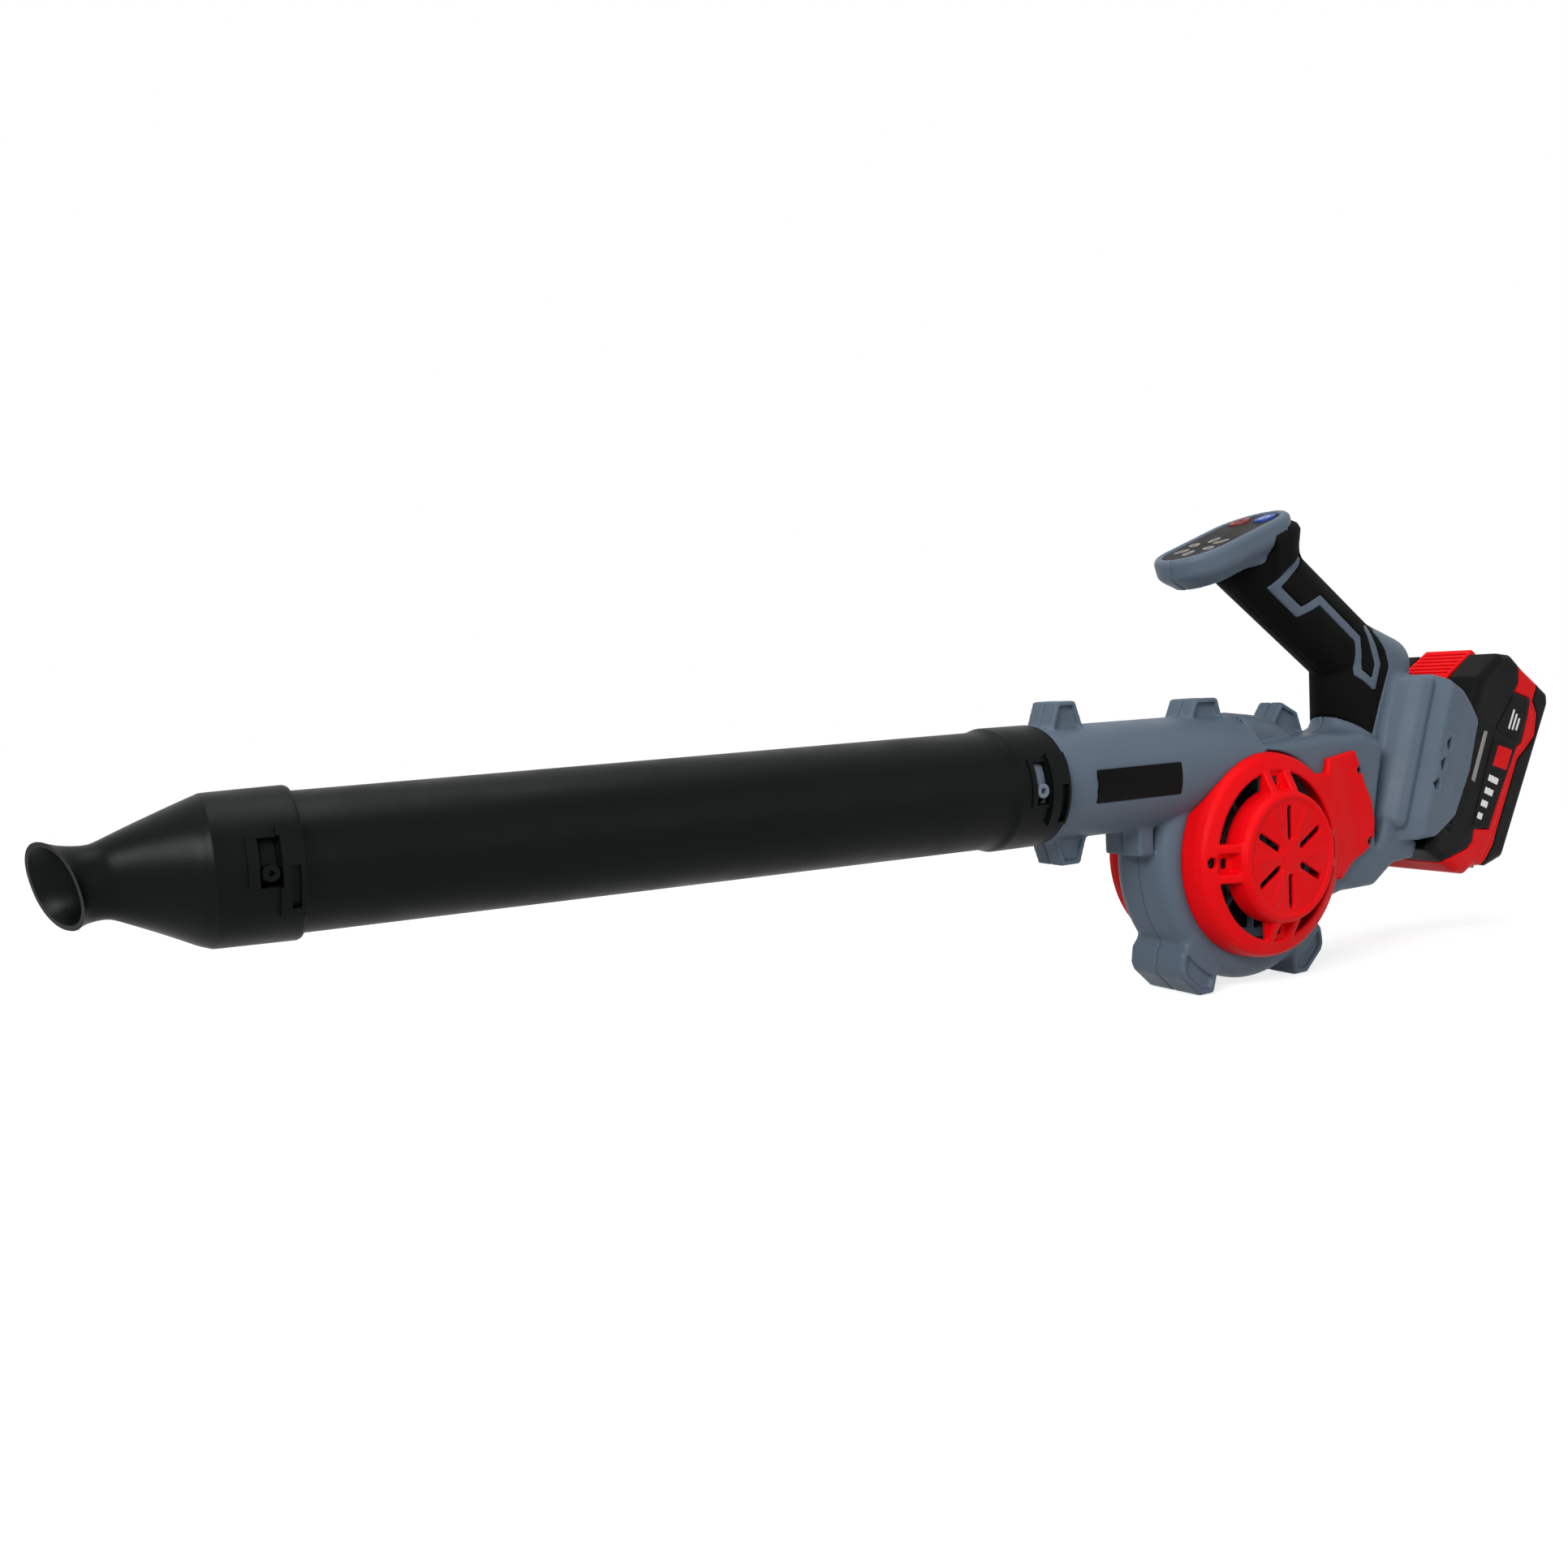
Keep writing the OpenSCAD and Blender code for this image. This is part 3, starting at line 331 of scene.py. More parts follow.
def edge_quads(inside, number):
    """A quad of cell numbers round each crossed edge, turned so that it faces outward."""
    quads = []
    for axis in range(3):
        a, b = [k for k in range(3) if k != axis]
        p, q = [slice(1, -1)] * 3, [slice(1, -1)] * 3
        p[axis], q[axis] = slice(0, -1), slice(1, None)
        ip, iq = inside[tuple(p)], inside[tuple(q)]
        for leaving in (True, False):
            base = np.argwhere(ip & ~iq if leaving else ~ip & iq)
            base[:, a] += 1
            base[:, b] += 1
            ring = []
            for da, db in ((0, 0), (1, 0), (1, 1), (0, 1)):
                c = base.copy()
                c[:, a] -= da
                c[:, b] -= db
                ring.append(number[c[:, 0], c[:, 1], c[:, 2]])
            ring = np.stack(ring, 1)
            turn = leaving if axis != 1 else not leaving
            quads.append(ring if turn else ring[:, ::-1])
    return np.concatenate(quads)


def mix(a, b, s):
    """A share s of the way from a to b."""
    return a + (b - a) * s


def settled(points, f):
    """One step p - f g / |g|^2, where f and its slope g are mixed from the cell's eight corners."""
    i = np.clip(points.astype(int), 0, np.array(f.shape) - 2)
    wx, wy, wz = (points - i).T
    c = [[[f[i[:, 0] + dx, i[:, 1] + dy, i[:, 2] + dz] for dz in (0, 1)] for dy in (0, 1)] for dx in (0, 1)]
    at = [[mix(c[dx][dy][0], c[dx][dy][1], wz) for dy in (0, 1)] for dx in (0, 1)]
    rise = [[c[dx][dy][1] - c[dx][dy][0] for dy in (0, 1)] for dx in (0, 1)]
    value = mix(mix(at[0][0], at[0][1], wy), mix(at[1][0], at[1][1], wy), wx)
    gx = mix(at[1][0], at[1][1], wy) - mix(at[0][0], at[0][1], wy)
    gy = mix(at[0][1] - at[0][0], at[1][1] - at[1][0], wx)
    gz = mix(mix(rise[0][0], rise[0][1], wy), mix(rise[1][0], rise[1][1], wy), wx)
    g = np.stack([gx, gy, gz], 1)
    s = value / np.maximum((g * g).sum(1), 0.05)
    return points + np.clip(-g * s[:, None], -0.35, 0.35)


print("skin tools ready")

# %% [markdown]
# ## The grid itself
# A solid is worked out only near its own box, which keeps the fine grids fast. The
# outermost layer is always outside, so that every skin closes.

# %% The grid
class Field:
    """Distances on a regular grid of points; x, h and z are millimetres, h is the distance to one side."""

    def __init__(self, low, high, step):
        self.low, self.step = np.array(low, float), float(step)
        n = np.ceil((np.array(high, float) - self.low) / step).astype(int) + 1
        self.axes = [(self.low[k] + step * np.arange(n[k])).astype(np.float32) for k in range(3)]
        self.v = np.full(n, 40.0, np.float32)

    def window(self, low, high, reach):
        """The slices of the grid that cover a box and the three coordinate arrays there."""
        cut = []
        for k in range(3):
            i = np.searchsorted(self.axes[k], low[k] - reach)
            j = np.searchsorted(self.axes[k], high[k] + reach)
            cut.append(slice(int(i), int(j)))
        x, h, z = (self.axes[k][cut[k]] for k in range(3))
        return tuple(cut), x[:, None, None], h[None, :, None], z[None, None, :]

    def add(self, shape, low, high, k=0.0):
        """Joins a solid, worked out only near its box."""
        cut, x, h, z = self.window(low, high, 5.0 + k)
        if self.v[cut].size:
            self.v[cut] = join(self.v[cut], shape(x, h, z), k)

    def cut(self, shape, low, high, k=0.0):
        """Cuts a solid away: the larger of this distance and minus the other."""
        cut, x, h, z = self.window(low, high, 5.0 + k)
        if self.v[cut].size:
            self.v[cut] = both(self.v[cut], -shape(x, h, z), k)

    def keep(self, shape):
        """Keeps only what lies in both solids."""
        x, h, z = np.ix_(*self.axes)
        self.v = both(self.v, shape(x, h, z)).astype(np.float32)

    def skin(self):
        """Points and quads of the zero surface, one point in each cell that it crosses."""
        f = self.v.copy()
        for k, end in itertools.product(range(3), (0, -1)):
            layer = [slice(None)] * 3
            layer[k] = end
            f[tuple(layer)] = np.maximum(f[tuple(layer)], 0.5 * self.step)
        inside = f < 0
        total, where = crossings(f, inside)
        live = total > 0
        number = np.full(live.shape, -1, np.int32)
        number[live] = np.arange(int(live.sum()))
        points = np.argwhere(live) + where[live] / total[live][:, None]
        for _ in range(2):
            points = settled(points, f)
        return points * self.step + self.low, edge_quads(inside, number)


ball = Field((-3, -3, -3), (3, 3, 3), 0.5)
ball.add(lambda x, h, z: np.sqrt(x * x + h * h + z * z) - 2.0, (-2, -2, -2), (2, 2, 2))
print("a ball of radius 2 is skinned at", round(float(np.linalg.norm(ball.skin()[0], axis=1).mean()), 3))

# %% [markdown]
# ## Axes of the leaning parts
# The battery and the control head lean. Each is drawn in axes of its own, where its
# edges are straight. `v` runs away from the tool and `u` up along the battery's
# rails; `s` runs along the top of the head and `n` out of it.

# %% Leaning axes
HEAD_X, HEAD_Z, HEAD_C = 3.5, 161.5, 18.8


def lean(x, z):
    """The battery's own axes: v = x cos t - z sin t, u = x sin t + z cos t."""
    c, s = math.cos(PACK_LEAN), math.sin(PACK_LEAN)
    return x * c - z * s, x * s + z * c


def leaning(shape):
    """Lets a shape of (v, h, u) be read at x, h, z."""
    def placed(x, h, z):
        v, u = lean(x, z)
        return shape(v, h, u)
    return placed


def on_head(x, z):
    """The control head's axes: s along its top, n out of it, measured from the middle of the top."""
    dx, dz = x - HEAD_X, z - HEAD_Z
    c, d = math.cos(HEAD_LEAN), math.sin(HEAD_LEAN)
    return dx * c + dz * d, -dx * d + dz * c


def long_round(s, h, half):
    """Distance from the middle line of a round-ended oval: hypot(max(|s| - half, 0), h)."""
    return np.hypot(np.maximum(np.abs(s) - half, 0.0), h)


print("the head's top is centred at", (HEAD_X, HEAD_Z))

# %% [markdown]
# ## Handle, head and rubber collar
# The handle is a flat outline swept by a ball, which rounds all of its edges at
# once. The control head is an oval whose rim is drawn in section. Rubber wraps its
# rear wall, and the hard head is set back under it.

# %% Handle and head
HANDLE = [(19.5, 147.5), (96, 95.9), (96, 42), (123, 42), (127.5, 91.5), (99.8, 101.3), (28.6, 149.9)]
GRIP = [
    (-14, 110), (60, 72), (70, 68), (80, 65.5), (88, 60.5), (99, 52.5), (106, 70), (115, 90.5), (112, 100),
    (107, 109), (116, 122), (55, 172), (47.5, 164), (40, 163), (21, 159), (18, 146), (-14, 137),
]
HEAD_RADIUS = 22.2
COLLAR_START = 13.0
COLLAR_DEPTH = 2.2
handle_plan, grip_plan = poly(HANDLE), poly(GRIP)
collar_side = poly([(-22, -6.0), (-3.0, -6.3), (-0.8, -8.2), (0, -11), (-1.6, -16), (-5.0, -25), (-22, -25)])
head_side = poly([(-22, 0), (-1.5, 0), (0, -2.0), (0, -9), (-1.4, -11.5), (-7.5, -17.5), (-22, -17.5)])


def handle(x, h, z, r):
    """The outline swept by a ball of radius r: hypot(max(d, 0), h) - r."""
    return np.hypot(np.maximum(handle_plan(x, z), 0.0), h) - r


def head(x, h, z):
    """The head's rim section, read at the distance in from the oval and the height."""
    s, n = on_head(x, z)
    return head_side(long_round(s, h, HEAD_C) - HEAD_RADIUS, n + 0.0 * h)


def collar(x, h, z):
    """The rubber round the head's rear wall: a slightly longer oval, kept behind COLLAR_START."""
    s, n = on_head(x, z)
    wall = collar_side(np.hypot(np.maximum(s - 23.2, 0.0), h) - 22.9, n + 0.0 * h)
    return both(wall, COLLAR_START - s, 0.8)


def bare_head(x, h, z):
    """The hard head, its rear wall set back by COLLAR_DEPTH under the rubber."""
    whole = head(x, h, z)
    return np.maximum(whole, np.minimum(-collar(x, h, z), whole + COLLAR_DEPTH))


print(len(HANDLE), "corners in the handle,", len(GRIP), "round the grip")

# %% [markdown]
# ## The block behind the fan, and the battery dock
# A flat block carries the handle. The dock that holds the battery swells out of it
# as a leaning dome, with a flat cheek on each side and a stop below. A valley parts
# the dome from the block.

# %% Block and dock
BLOCK_HALF = 28.0
CHEEK_HALF = 38.5
BLOCK = [
    (0, 0), (40, -30), (60, -26), (86, -26), (104, -15), (112, 0), (108, 20), (100, 50), (78, 57),
    (66, 56.5), (57, 57), (50, 58), (38, 57), (0, 55),
]
VALLEY = [(86, -4), (86, 12), (89, 28), (92, 42), (96, 54), (104, 74), (140, 74), (140, 12), (104, 9)]
BULGE_EDGE = [
    (99, 29.8), (81.5, 29.8), (78, 32.4), (74, 33.8), (70, 31.4), (66.5, 25.5), (64, 18), (61, 12), (56, 7),
]
BULGE = [(v, -h) for v, h in BULGE_EDGE[::-1]] + BULGE_EDGE
BULGE_SIDE = [(52, 56), (74, 50), (86, 50), (99, 57), (99, 137), (82, 138), (66, 132), (52, 124)]
BULGE_RAKE = 0.15
CHEEK = [(78, 50), (84, 46), (94, 46), (108, 55), (119, 72), (120, 99), (115, 127), (97, 137), (78, 138)]
CHEEK_BEVEL = [
    (91, 60), (96, 45), (114, 52), (127, 68), (128, 100), (122, 132), (97, 141), (79.5, 141), (82.5, 112),
    (88.5, 84),
]
STOP = [(80, 34), (88, 33), (98, 35), (110.3, 42.5), (110.3, 52), (80, 52)]
bulge, bulge_side, cheek, stop = poly(BULGE), poly(BULGE_SIDE), poly(CHEEK), poly(STOP)
block_plan, valley, bevel = poly(BLOCK), poly(VALLEY), poly(CHEEK_BEVEL)


def handle_root(x, h, z):
    """The bare handle, thicker outside the grip outline, where no rubber covers it."""
    return join(handle(x, h, z, 13.3), both(handle(x, h, z, 16.4), -grip_plan(x, z), 0.8))


def dome(v, h, u):
    """The dock seen along its rails and from the side; its front moves forward by BULGE_RAKE as it rises."""
    return both(bulge(v - BULGE_RAKE * (135.0 - u) + 0 * h, h + 0 * v), bulge_side(v, u), 5.0)


def cheeks(v, h, u):
    """The flat sides of the dock with their long bevel, and the stop below them."""
    slope = (1.15 * bevel(v, u) + h - 32.2) * 0.66
    raised = both(both(cheek(v, u) + 0 * h, h - CHEEK_HALF + 0 * v), slope, 0.6)
    return join(raised, slab(stop(v, u), h, BLOCK_HALF, 3.0), 3.0)


def add_block_and_dock(f):
    """Block, valley, handle, dome and cheeks, in the order that rounds their joins."""
    f.add(lambda x, h, z: slab(block_plan(x, z), h, BLOCK_HALF, 6.0), (0, 0, -30), (112, 28, 70))
    f.cut(lambda x, h, z: both(valley(x, z), 13.5 - h, 3.0), (84, 13, -6), (140, 30, 74), 4.0)
    f.add(handle_root, (2, 0, 40), (145, 17, 167), 9.0)
    f.add(leaning(dome), (60, 0, -20), (164, 36, 100), 2.5)
    f.add(leaning(cheeks), (80, 0, -25), (164, 39, 95), 1.0)


print(len(BLOCK), "corners in the block,", len(BULGE), "round the dome")

# %% [markdown]
# ## The scroll, its duct and its lugs
# A fan needs a channel that widens on its way round. Here that is four quarter
# circles whose radius grows by 3 mm a quarter. The duct leaves the top. Hollow lugs
# stand on the parting plane, and two feet carry the tool when it is put down.

# %% Scroll and duct
SCROLL_HALF = 19.0
SCROLL_STEP = 1.5
DUCT_RADIUS = 27.0
DUCT_MOUTH = -129.7
SPIGOT_RADIUS = 26.0
SPIGOT_END = -157.0
FOOT_HALF = 17.7
FOOT = [
    (-40, -34), (-50.4, -45), (-51.7, -53.5), (-50, -57.5), (-38.5, -67.5), (-29, -67.5), (-26, -58),
    (-37, -30),
]
TEETH = [
    ([(-124.6, 66), (-101.4, 66), (-107.4, 82.5), (-118.6, 82.5)], 9.0),
    ([(-34.5, 64), (-6.7, 64), (-11.7, 79.5), (-27.3, 79.5)], 9.0),
    ([(28, 62), (56, 54), (50.3, 69), (38.2, 75)], 7.7),
    ([(-124.6, 22), (-101.4, 22), (-107.4, 5.5), (-118.6, 5.5)], 9.0),
]
foot_plan = poly(FOOT)


def spiral(x, z):
    """Distance outside the scroll: hypot(x - cx, z - cz) - R, with centre and R taken from the quarter."""
    c = SCROLL_STEP
    x, z = np.broadcast_arrays(x, z)
    r0 = np.hypot(x + c, z - c) - 69.0
    r1 = np.hypot(x + c, z + c) - 60.0
    r2 = np.hypot(x - c, z + c) - 63.0
    r3 = np.hypot(x - c, z - c) - 66.0
    q0, q1, q2 = (x >= -c) & (z >= c), (x < -c) & (z >= -c), (x < c) & (z < -c)
    return np.where(q0, r0, np.where(q1, r1, np.where(q2, r2, r3)))


def pipe(h, z, r):
    """Distance to a round bar of radius r along the duct."""
    return np.hypot(h, z - DUCT_Z) - r


def duct(x, h, z):
    """The duct, less the drum that the cover stands in."""
    body = both(both(pipe(h, z, DUCT_RADIUS), DUCT_MOUTH - x, 1.2), x - 2.0)
    return both(body, -both(np.hypot(x, z) - 43.0, SCROLL_HALF - h))


def spigot(x, h, z):
    """The thinner end of the duct, which the tube slides over."""
    return both(pipe(h, z, SPIGOT_RADIUS), np.maximum(SPIGOT_END - x, x + 128.0), 1.0)


def tooth(plan, half):
    """A lug with a pocket in its face: the outline less a smaller one, 2.6 mm deep."""
    out = poly(plan)

    def shape(x, h, z):
        hollow = both(out(x, z) + 2.3, half - 2.6 - h, 0.8)
        return both(slab(out(x, z), h, half, 1.4), -hollow, 0.5)

    return shape


def front_block(x, h, z):
    """A small block on the front of the scroll, below the duct."""
    return slab(box(x + 67, 5.0, z - 14.0, 9.0), h, 12.0, 1.2)


def foot_outline(x, z, way):
    """The foot's outline, or the same one mirrored about x = SCROLL_STEP for the second foot."""
    return foot_plan((x if way > 0 else 2.0 * SCROLL_STEP - x), z)


def foot(way):
    """One foot, as thick on both sides of the parting plane."""
    return lambda x, h, z: slab(foot_outline(x, z, way), h, FOOT_HALF, 2.0)


def foot_pocket(way):
    """The hollow in a foot's side, kept 2.5 mm off the scroll."""
    def shape(x, h, z):
        return both(both(foot_outline(x, z, way) + 3.0, 15.4 - h, 1.0), 2.5 - spiral(x, z), 1.0)
    return shape


def add_scroll_and_duct(f):
    """The well for the cover, then scroll, duct, spigot, lugs, feet and head."""
    f.cut(lambda x, h, z: both(np.hypot(x, z) - 52.3, SCROLL_HALF - h), (-53, 19, -53), (53, 41, 53), 0.8)
    f.add(lambda x, h, z: slab(spiral(x, z), h, SCROLL_HALF, 9.0), (-62, 0, -65), (68, 19, 71), 1.5)
    f.add(duct, (-130, 0, 17), (2, 27, 71), 2.0)
    f.add(spigot, (-157, 0, 17), (-128, 26, 71))
    for plan, half in TEETH:
        low, high = np.min(plan, axis=0), np.max(plan, axis=0)
        f.add(tooth(plan, half), (low[0], 0, low[1]), (high[0], half, high[1]), 1.5)
    f.add(front_block, (-72, 0, 5), (-62, 12, 23), 2.0)
    for way in (1, -1):
        f.add(foot(way), (-58, 0, -68), (61, 18, -27), 3.0)
    f.add(bare_head, (-41, 0, 128), (52, 22, 178), 1.2)
    for way in (1, -1):
        f.cut(foot_pocket(way), (-56, 13, -66), (59, 20, -35), 0.6)


print(len(TEETH), "lugs and two feet")

# %% [markdown]
# ## Details of the dock
# The pack slides on rails, so a T-shaped channel is cut for them. Each cheek bears
# three small diamonds inside a fine frame line, and a raised strip behind them.

# %% Dock details
MARK_V, MARK_U = 97.0, 93.0
FACE_LOW = 37.9


def rails(v, h, u):
    """The room for the pack and, ahead of it, the T of the rails above u = 52."""
    body = np.maximum(110.3 - v, h - 35.8)
    tee = np.minimum(np.maximum(h - 24.12, v - 105.1), h - 20.12)
    return np.minimum(body, np.maximum(np.maximum(tee, 98.9 - v), 52.0 - u))


def diamond(u0):
    """A diamond-shaped hollow: 1.7 |v - MARK_V| + |u - u0| < 4.4."""
    def shape(v, h, u):
        return np.maximum((1.7 * np.abs(v - MARK_V) + np.abs(u - u0) - 4.4) * 0.6, 33.0 - h)
    return shape


def strip(v, h, u):
    """The raised strip behind the diamonds."""
    return slab(box(v - 107.0, 1.4, u - 95.0, 20.5), h, 39.1, 0.8)


def frame_line(v, h, u):
    """A groove 0.7 mm wide along the edge of an oblong."""
    return np.maximum(np.abs(box(v - MARK_V, 5.2, u - MARK_U, 19.0)) - 0.35, FACE_LOW - h)


def detail_dock(f):
    """Rails, diamonds, strip and frame line."""
    f.cut(leaning(rails), (60, 0, -40), (164, 40, 178))
    for step in (-12.0, 0.0, 12.0):
        f.cut(leaning(diamond(MARK_U + step)), (110, 36, 15), (150, 42, 70), 0.3)
    f.add(leaning(strip), (100, 30, 10), (160, 40, 75), 0.5)
    f.cut(leaning(frame_line), (110, 36, 10), (150, 40, 80), 0.3)


print("three diamonds, centred at", (MARK_V, MARK_U))

# %% [markdown]
# ## Hollows, holes and windows
# A moulded half is a thin shell: the fan's room, the duct's bore and the eye of the
# scroll are cut out. The near side has a bare plate's seat and a window for the
# latch. The case screws enter from the far side.

# %% Hollow housing
WALL = 2.2
BORE_RADIUS = 23.8
EYE_RADIUS = 40.0
LATCH_X = -146.5
CASE_SCREWS = [(-113, 76.5), (-113, 11.5), (-43, -57), (46, -57), (127, 92), (93, -12)]
TAB_SCREWS = [(69.6, 37.6), (77.2, -0.8)]


def bore(x, h, z):
    """The air channel of the duct, up to the fan's room."""
    return both(np.maximum(pipe(h, z, BORE_RADIUS), x + 1.0), -both(np.hypot(x, z) - 45.2, 16.8 - h))


def head_pocket(x, h, z):
    """The panel's seat and, below it, the smaller room for the control board."""
    s, n = on_head(x, z)
    r = long_round(s, h, 18.9)
    return np.minimum(np.maximum(r - 17.5, -2.8 - n), np.maximum(r - 16.4, -12.5 - n))


def screw_hole(cx, cz, r, floor):
    """A round hole across the tool, from h = floor outward."""
    return lambda x, h, z: np.maximum(np.hypot(x - cx, z - cz) - r, floor - h)


def latch_window(x, h, z):
    """The slot that the latch finger bends in."""
    return np.maximum(box(x - LATCH_X, 2.7, z - 51.5, 11.0), 16.0 - h)


def boss_hole(x, h, z):
    """A longer hole for the latch's round boss, with room to be pressed."""
    tall = np.maximum(np.abs(z - DUCT_Z + 1.0) - 1.0, 0.0)
    return np.maximum(np.hypot(x - LATCH_X, tall) - 3.6, 16.0 - h)


def plate_seat(x, h, z):
    """A recess 0.8 mm deep for the bare plate."""
    return np.maximum(box(x + 84.75, 27.0, z - 42.75, 7.4), 26.2 - np.hypot(h, z - DUCT_Z))


def hollow_out(f, near):
    """Everything that is cut from a half; `near` is the half with plate and latch."""
    f.cut(lambda x, h, z: slab(spiral(x, z) + WALL, h, SCROLL_HALF - WALL, 6.8), (-60, 0, -63), (66, 17, 69))
    f.cut(bore, (-160, 0, 20), (0, 24, 68))
    f.cut(lambda x, h, z: np.hypot(x, z) - EYE_RADIUS + 0 * h, (-40, 0, -40), (40, 41, 40))
    f.cut(head_pocket, (-40, 0, 128), (50, 20, 185), 0.3)
    if near:
        f.cut(latch_window, (-150, 14, 40), (-143, 30, 63))
        f.cut(boss_hole, (-150.5, 14, 37), (-142.5, 30, 48))
        f.cut(plate_seat, (-112, 20, 34), (-57, 30, 52), 0.3)
    else:
        for cx, cz in CASE_SCREWS:
            f.cut(screw_hole(cx, cz, 3.2, 6.4), (cx - 4, 6, cz - 4), (cx + 4, 41, cz + 4), 0.3)
    for cx, cz in TAB_SCREWS:
        f.cut(screw_hole(cx, cz, 1.7, 13.0), (cx - 4, 12, cz - 4), (cx + 4, 41, cz + 4))


print(len(CASE_SCREWS), "case screws,", len(TAB_SCREWS), "tab screws a side")

# %% [markdown]
# ## The two housing halves
# Both halves are drawn on the side h > 0, and the left one is mirrored. They differ
# only in their holes, the latch window and the plate's seat.

# %% Housing halves
def upper_half(x, h, z):
    """The side h > 0, which meets the other half on the parting plane."""
    return -h + 0 * x


for side, label in SIDES:
    f = Field((-159, -2.5, -70), (164, 41, 178), 1.1)
    add_block_and_dock(f)
    add_scroll_and_duct(f)
    detail_dock(f)
    hollow_out(f, side < 0)
    f.keep(upper_half)
    pts, quads = mirrored(*f.skin(), side)
    piece("shell_" + label, pts, quads, "housing", "grey_housing", hides=("housing_" + label,))

# %% [markdown]
# ## Air inlet covers
# Each cover is a dished ring, a drum in its middle and a flat tab that holds the
# rear edge. The ring and the drum are turned outlines: radius across, height up.
# Four pairs of bars join them, with a pierced plate between the bars of each pair.

# %% Cover forms
RING = [
    (49.8, 19), (52, 19), (51.5, 26.5), (50.6, 30.6), (49.0, 32.5), (43.4, 34.2), (42.3, 33.8), (42.3, 32.0),
    (46.5, 30.2), (48.7, 27),
]
DRUM = [
    (31.2, 29), (33.4, 29), (32.8, 39.4), (31.8, 42.0), (30.2, 42.8), (28.9, 42.7), (28.3, 41.8), (-1, 41.8),
    (-1, 39.6), (29.6, 39.6),
]
TAB = [(48 * math.cos(a), 48 * math.sin(a)) for a in np.radians([52, 40, 20, 0, -18])] + [
    (50.9, -18.2), (60.9, -10.7), (70.9, -7.1), (77.7, -3.5), (80.6, 1.4), (81.5, 10), (79.1, 21), (74, 30),
    (69.7, 41), (65.9, 48.1), (44.4, 45.3), (42.3, 38),
]
BAR = [(31.6, 31), (44.6, 31), (44.6, 33.2), (42.3, 34.6), (33.4, 39.2), (31.6, 39.6)]
RING_SCREW = (-45.6, 1.0)
SLOT_HALF = 1.6
ring, drum, tab, bar = poly(RING), poly(DRUM), poly(TAB), poly(BAR)


def around(outline):
    """A turned outline, 0.05 mm fuller so that it fuses with its neighbours."""
    return lambda x, h, z: outline(np.hypot(x, z) + 0 * h, h + 0 * x) - 0.05


def spun(x, z, a):
    """Axes turned by an angle: p = x cos a + z sin a, q = z cos a - x sin a."""
    c, s = math.cos(a), math.sin(a)
    return x * c + z * s, -x * s + z * c


def tab_plate(x, h, z):
    """The tab, whose top climbs to the ring by 2.3 t^2 (3 - 2 t)."""
    rise = np.clip(1.0 - (np.hypot(x, z) - 49.0) / 21.0, 0.0, 1.0)
    top = 30.6 + 2.3 * rise * rise * (3.0 - 2.0 * rise)
    return both(both(tab(x, z), h - top, 1.6), 28.0 - h)


def bar_pair(a):
    """Two bars side by side, 7.2 mm each way from the line at angle a."""
    def shape(x, h, z):
        p, q = spun(x, z, a)
        return both(bar(p + 0 * h, h + 0 * p), np.abs(np.abs(q) - 7.2) - 2.3, 1.0)
    return shape


def web(a):
    """The pierced plate between the two bars."""
    def shape(x, h, z):
        p, q = spun(x, z, a)
        plate = np.maximum(box(p - 38.0, 6.0, q, 5.2), np.abs(h - 31.9) - 0.9)
        return np.maximum(plate, -box(p - 37.2, 2.3, q, 2.5))
    return shape


def ridges(x, h, z):
    """A hub with six rays that widen outward, low on the drum's face."""
    best = np.hypot(x, z) - 6.0 + 0 * h
    for k in range(6):
        p, q = spun(x, z, math.radians(60 * k))
        best = np.minimum(best, np.maximum(np.abs(p - 17.0) - 10.0, np.abs(q) - 0.9 - 0.07 * p))
    return both(best, np.abs(h - 41.2) - 1.2, 0.6)


def slots(x, h, z):
    """Six plain round-ended slots between the rays."""
    turned_axes = [spun(x, z, math.radians(30 + 60 * k)) for k in range(6)]
    near = [long_round(p - 17.0, q, 7.0) - SLOT_HALF for p, q in turned_axes]
    return np.maximum(np.minimum.reduce(near) + 0 * h, 38.0 - h)


print("a cover reaches", max(h for r, h in DRUM), "mm from the middle plane")

# %% [markdown]
# Ring and drum come first, then the tab and the bars that join them. The slots and
# the screw holes are cut last, with a bite on the upper front that clears the duct.

# %% Air inlet covers
def cover_field(step):
    """Ring, drum, bars and tab joined, then the slots and screw holes cut."""
    f = Field((-53.5, 18, -53.5), (84, 44.5, 53.5), step)
    f.add(around(ring), (-53, 18, -53), (84, 44, 53))
    f.add(around(drum), (-53, 18, -53), (84, 44, 53))
    f.add(tab_plate, (36, 26, -20), (84, 35, 50), 1.4)
    for k in range(4):
        f.add(bar_pair(k * math.pi / 2), (-46, 29, -46), (46, 42, 46), 0.8)
        f.add(web(k * math.pi / 2), (-46, 29, -46), (46, 35, 46))
    f.add(ridges, (-29, 39, -29), (29, 43, 29), 0.5)
    f.cut(slots, (-27, 38, -27), (27, 44, 27), 0.6)
    f.cut(screw_hole(*RING_SCREW, 2.7, 30.6), (-50, 30, -4), (-41, 40, 6), 0.4)
    for cx, cz in TAB_SCREWS:
        f.cut(screw_hole(cx, cz, 2.3, 0.0), (cx - 4, 27, cz - 4), (cx + 4, 40, cz + 4), 0.4)
    f.cut(lambda x, h, z: np.maximum(pipe(h, z, 27.3), x - 2.3), (-54, 18, 16), (3, 28, 54))
    return f


for side, label in SIDES:
    pts, quads = mirrored(*cover_field(0.72).skin(), side)
    piece("cover_" + label, pts, quads, "housing", "red_cover", hides=("intake_cover_" + label,))

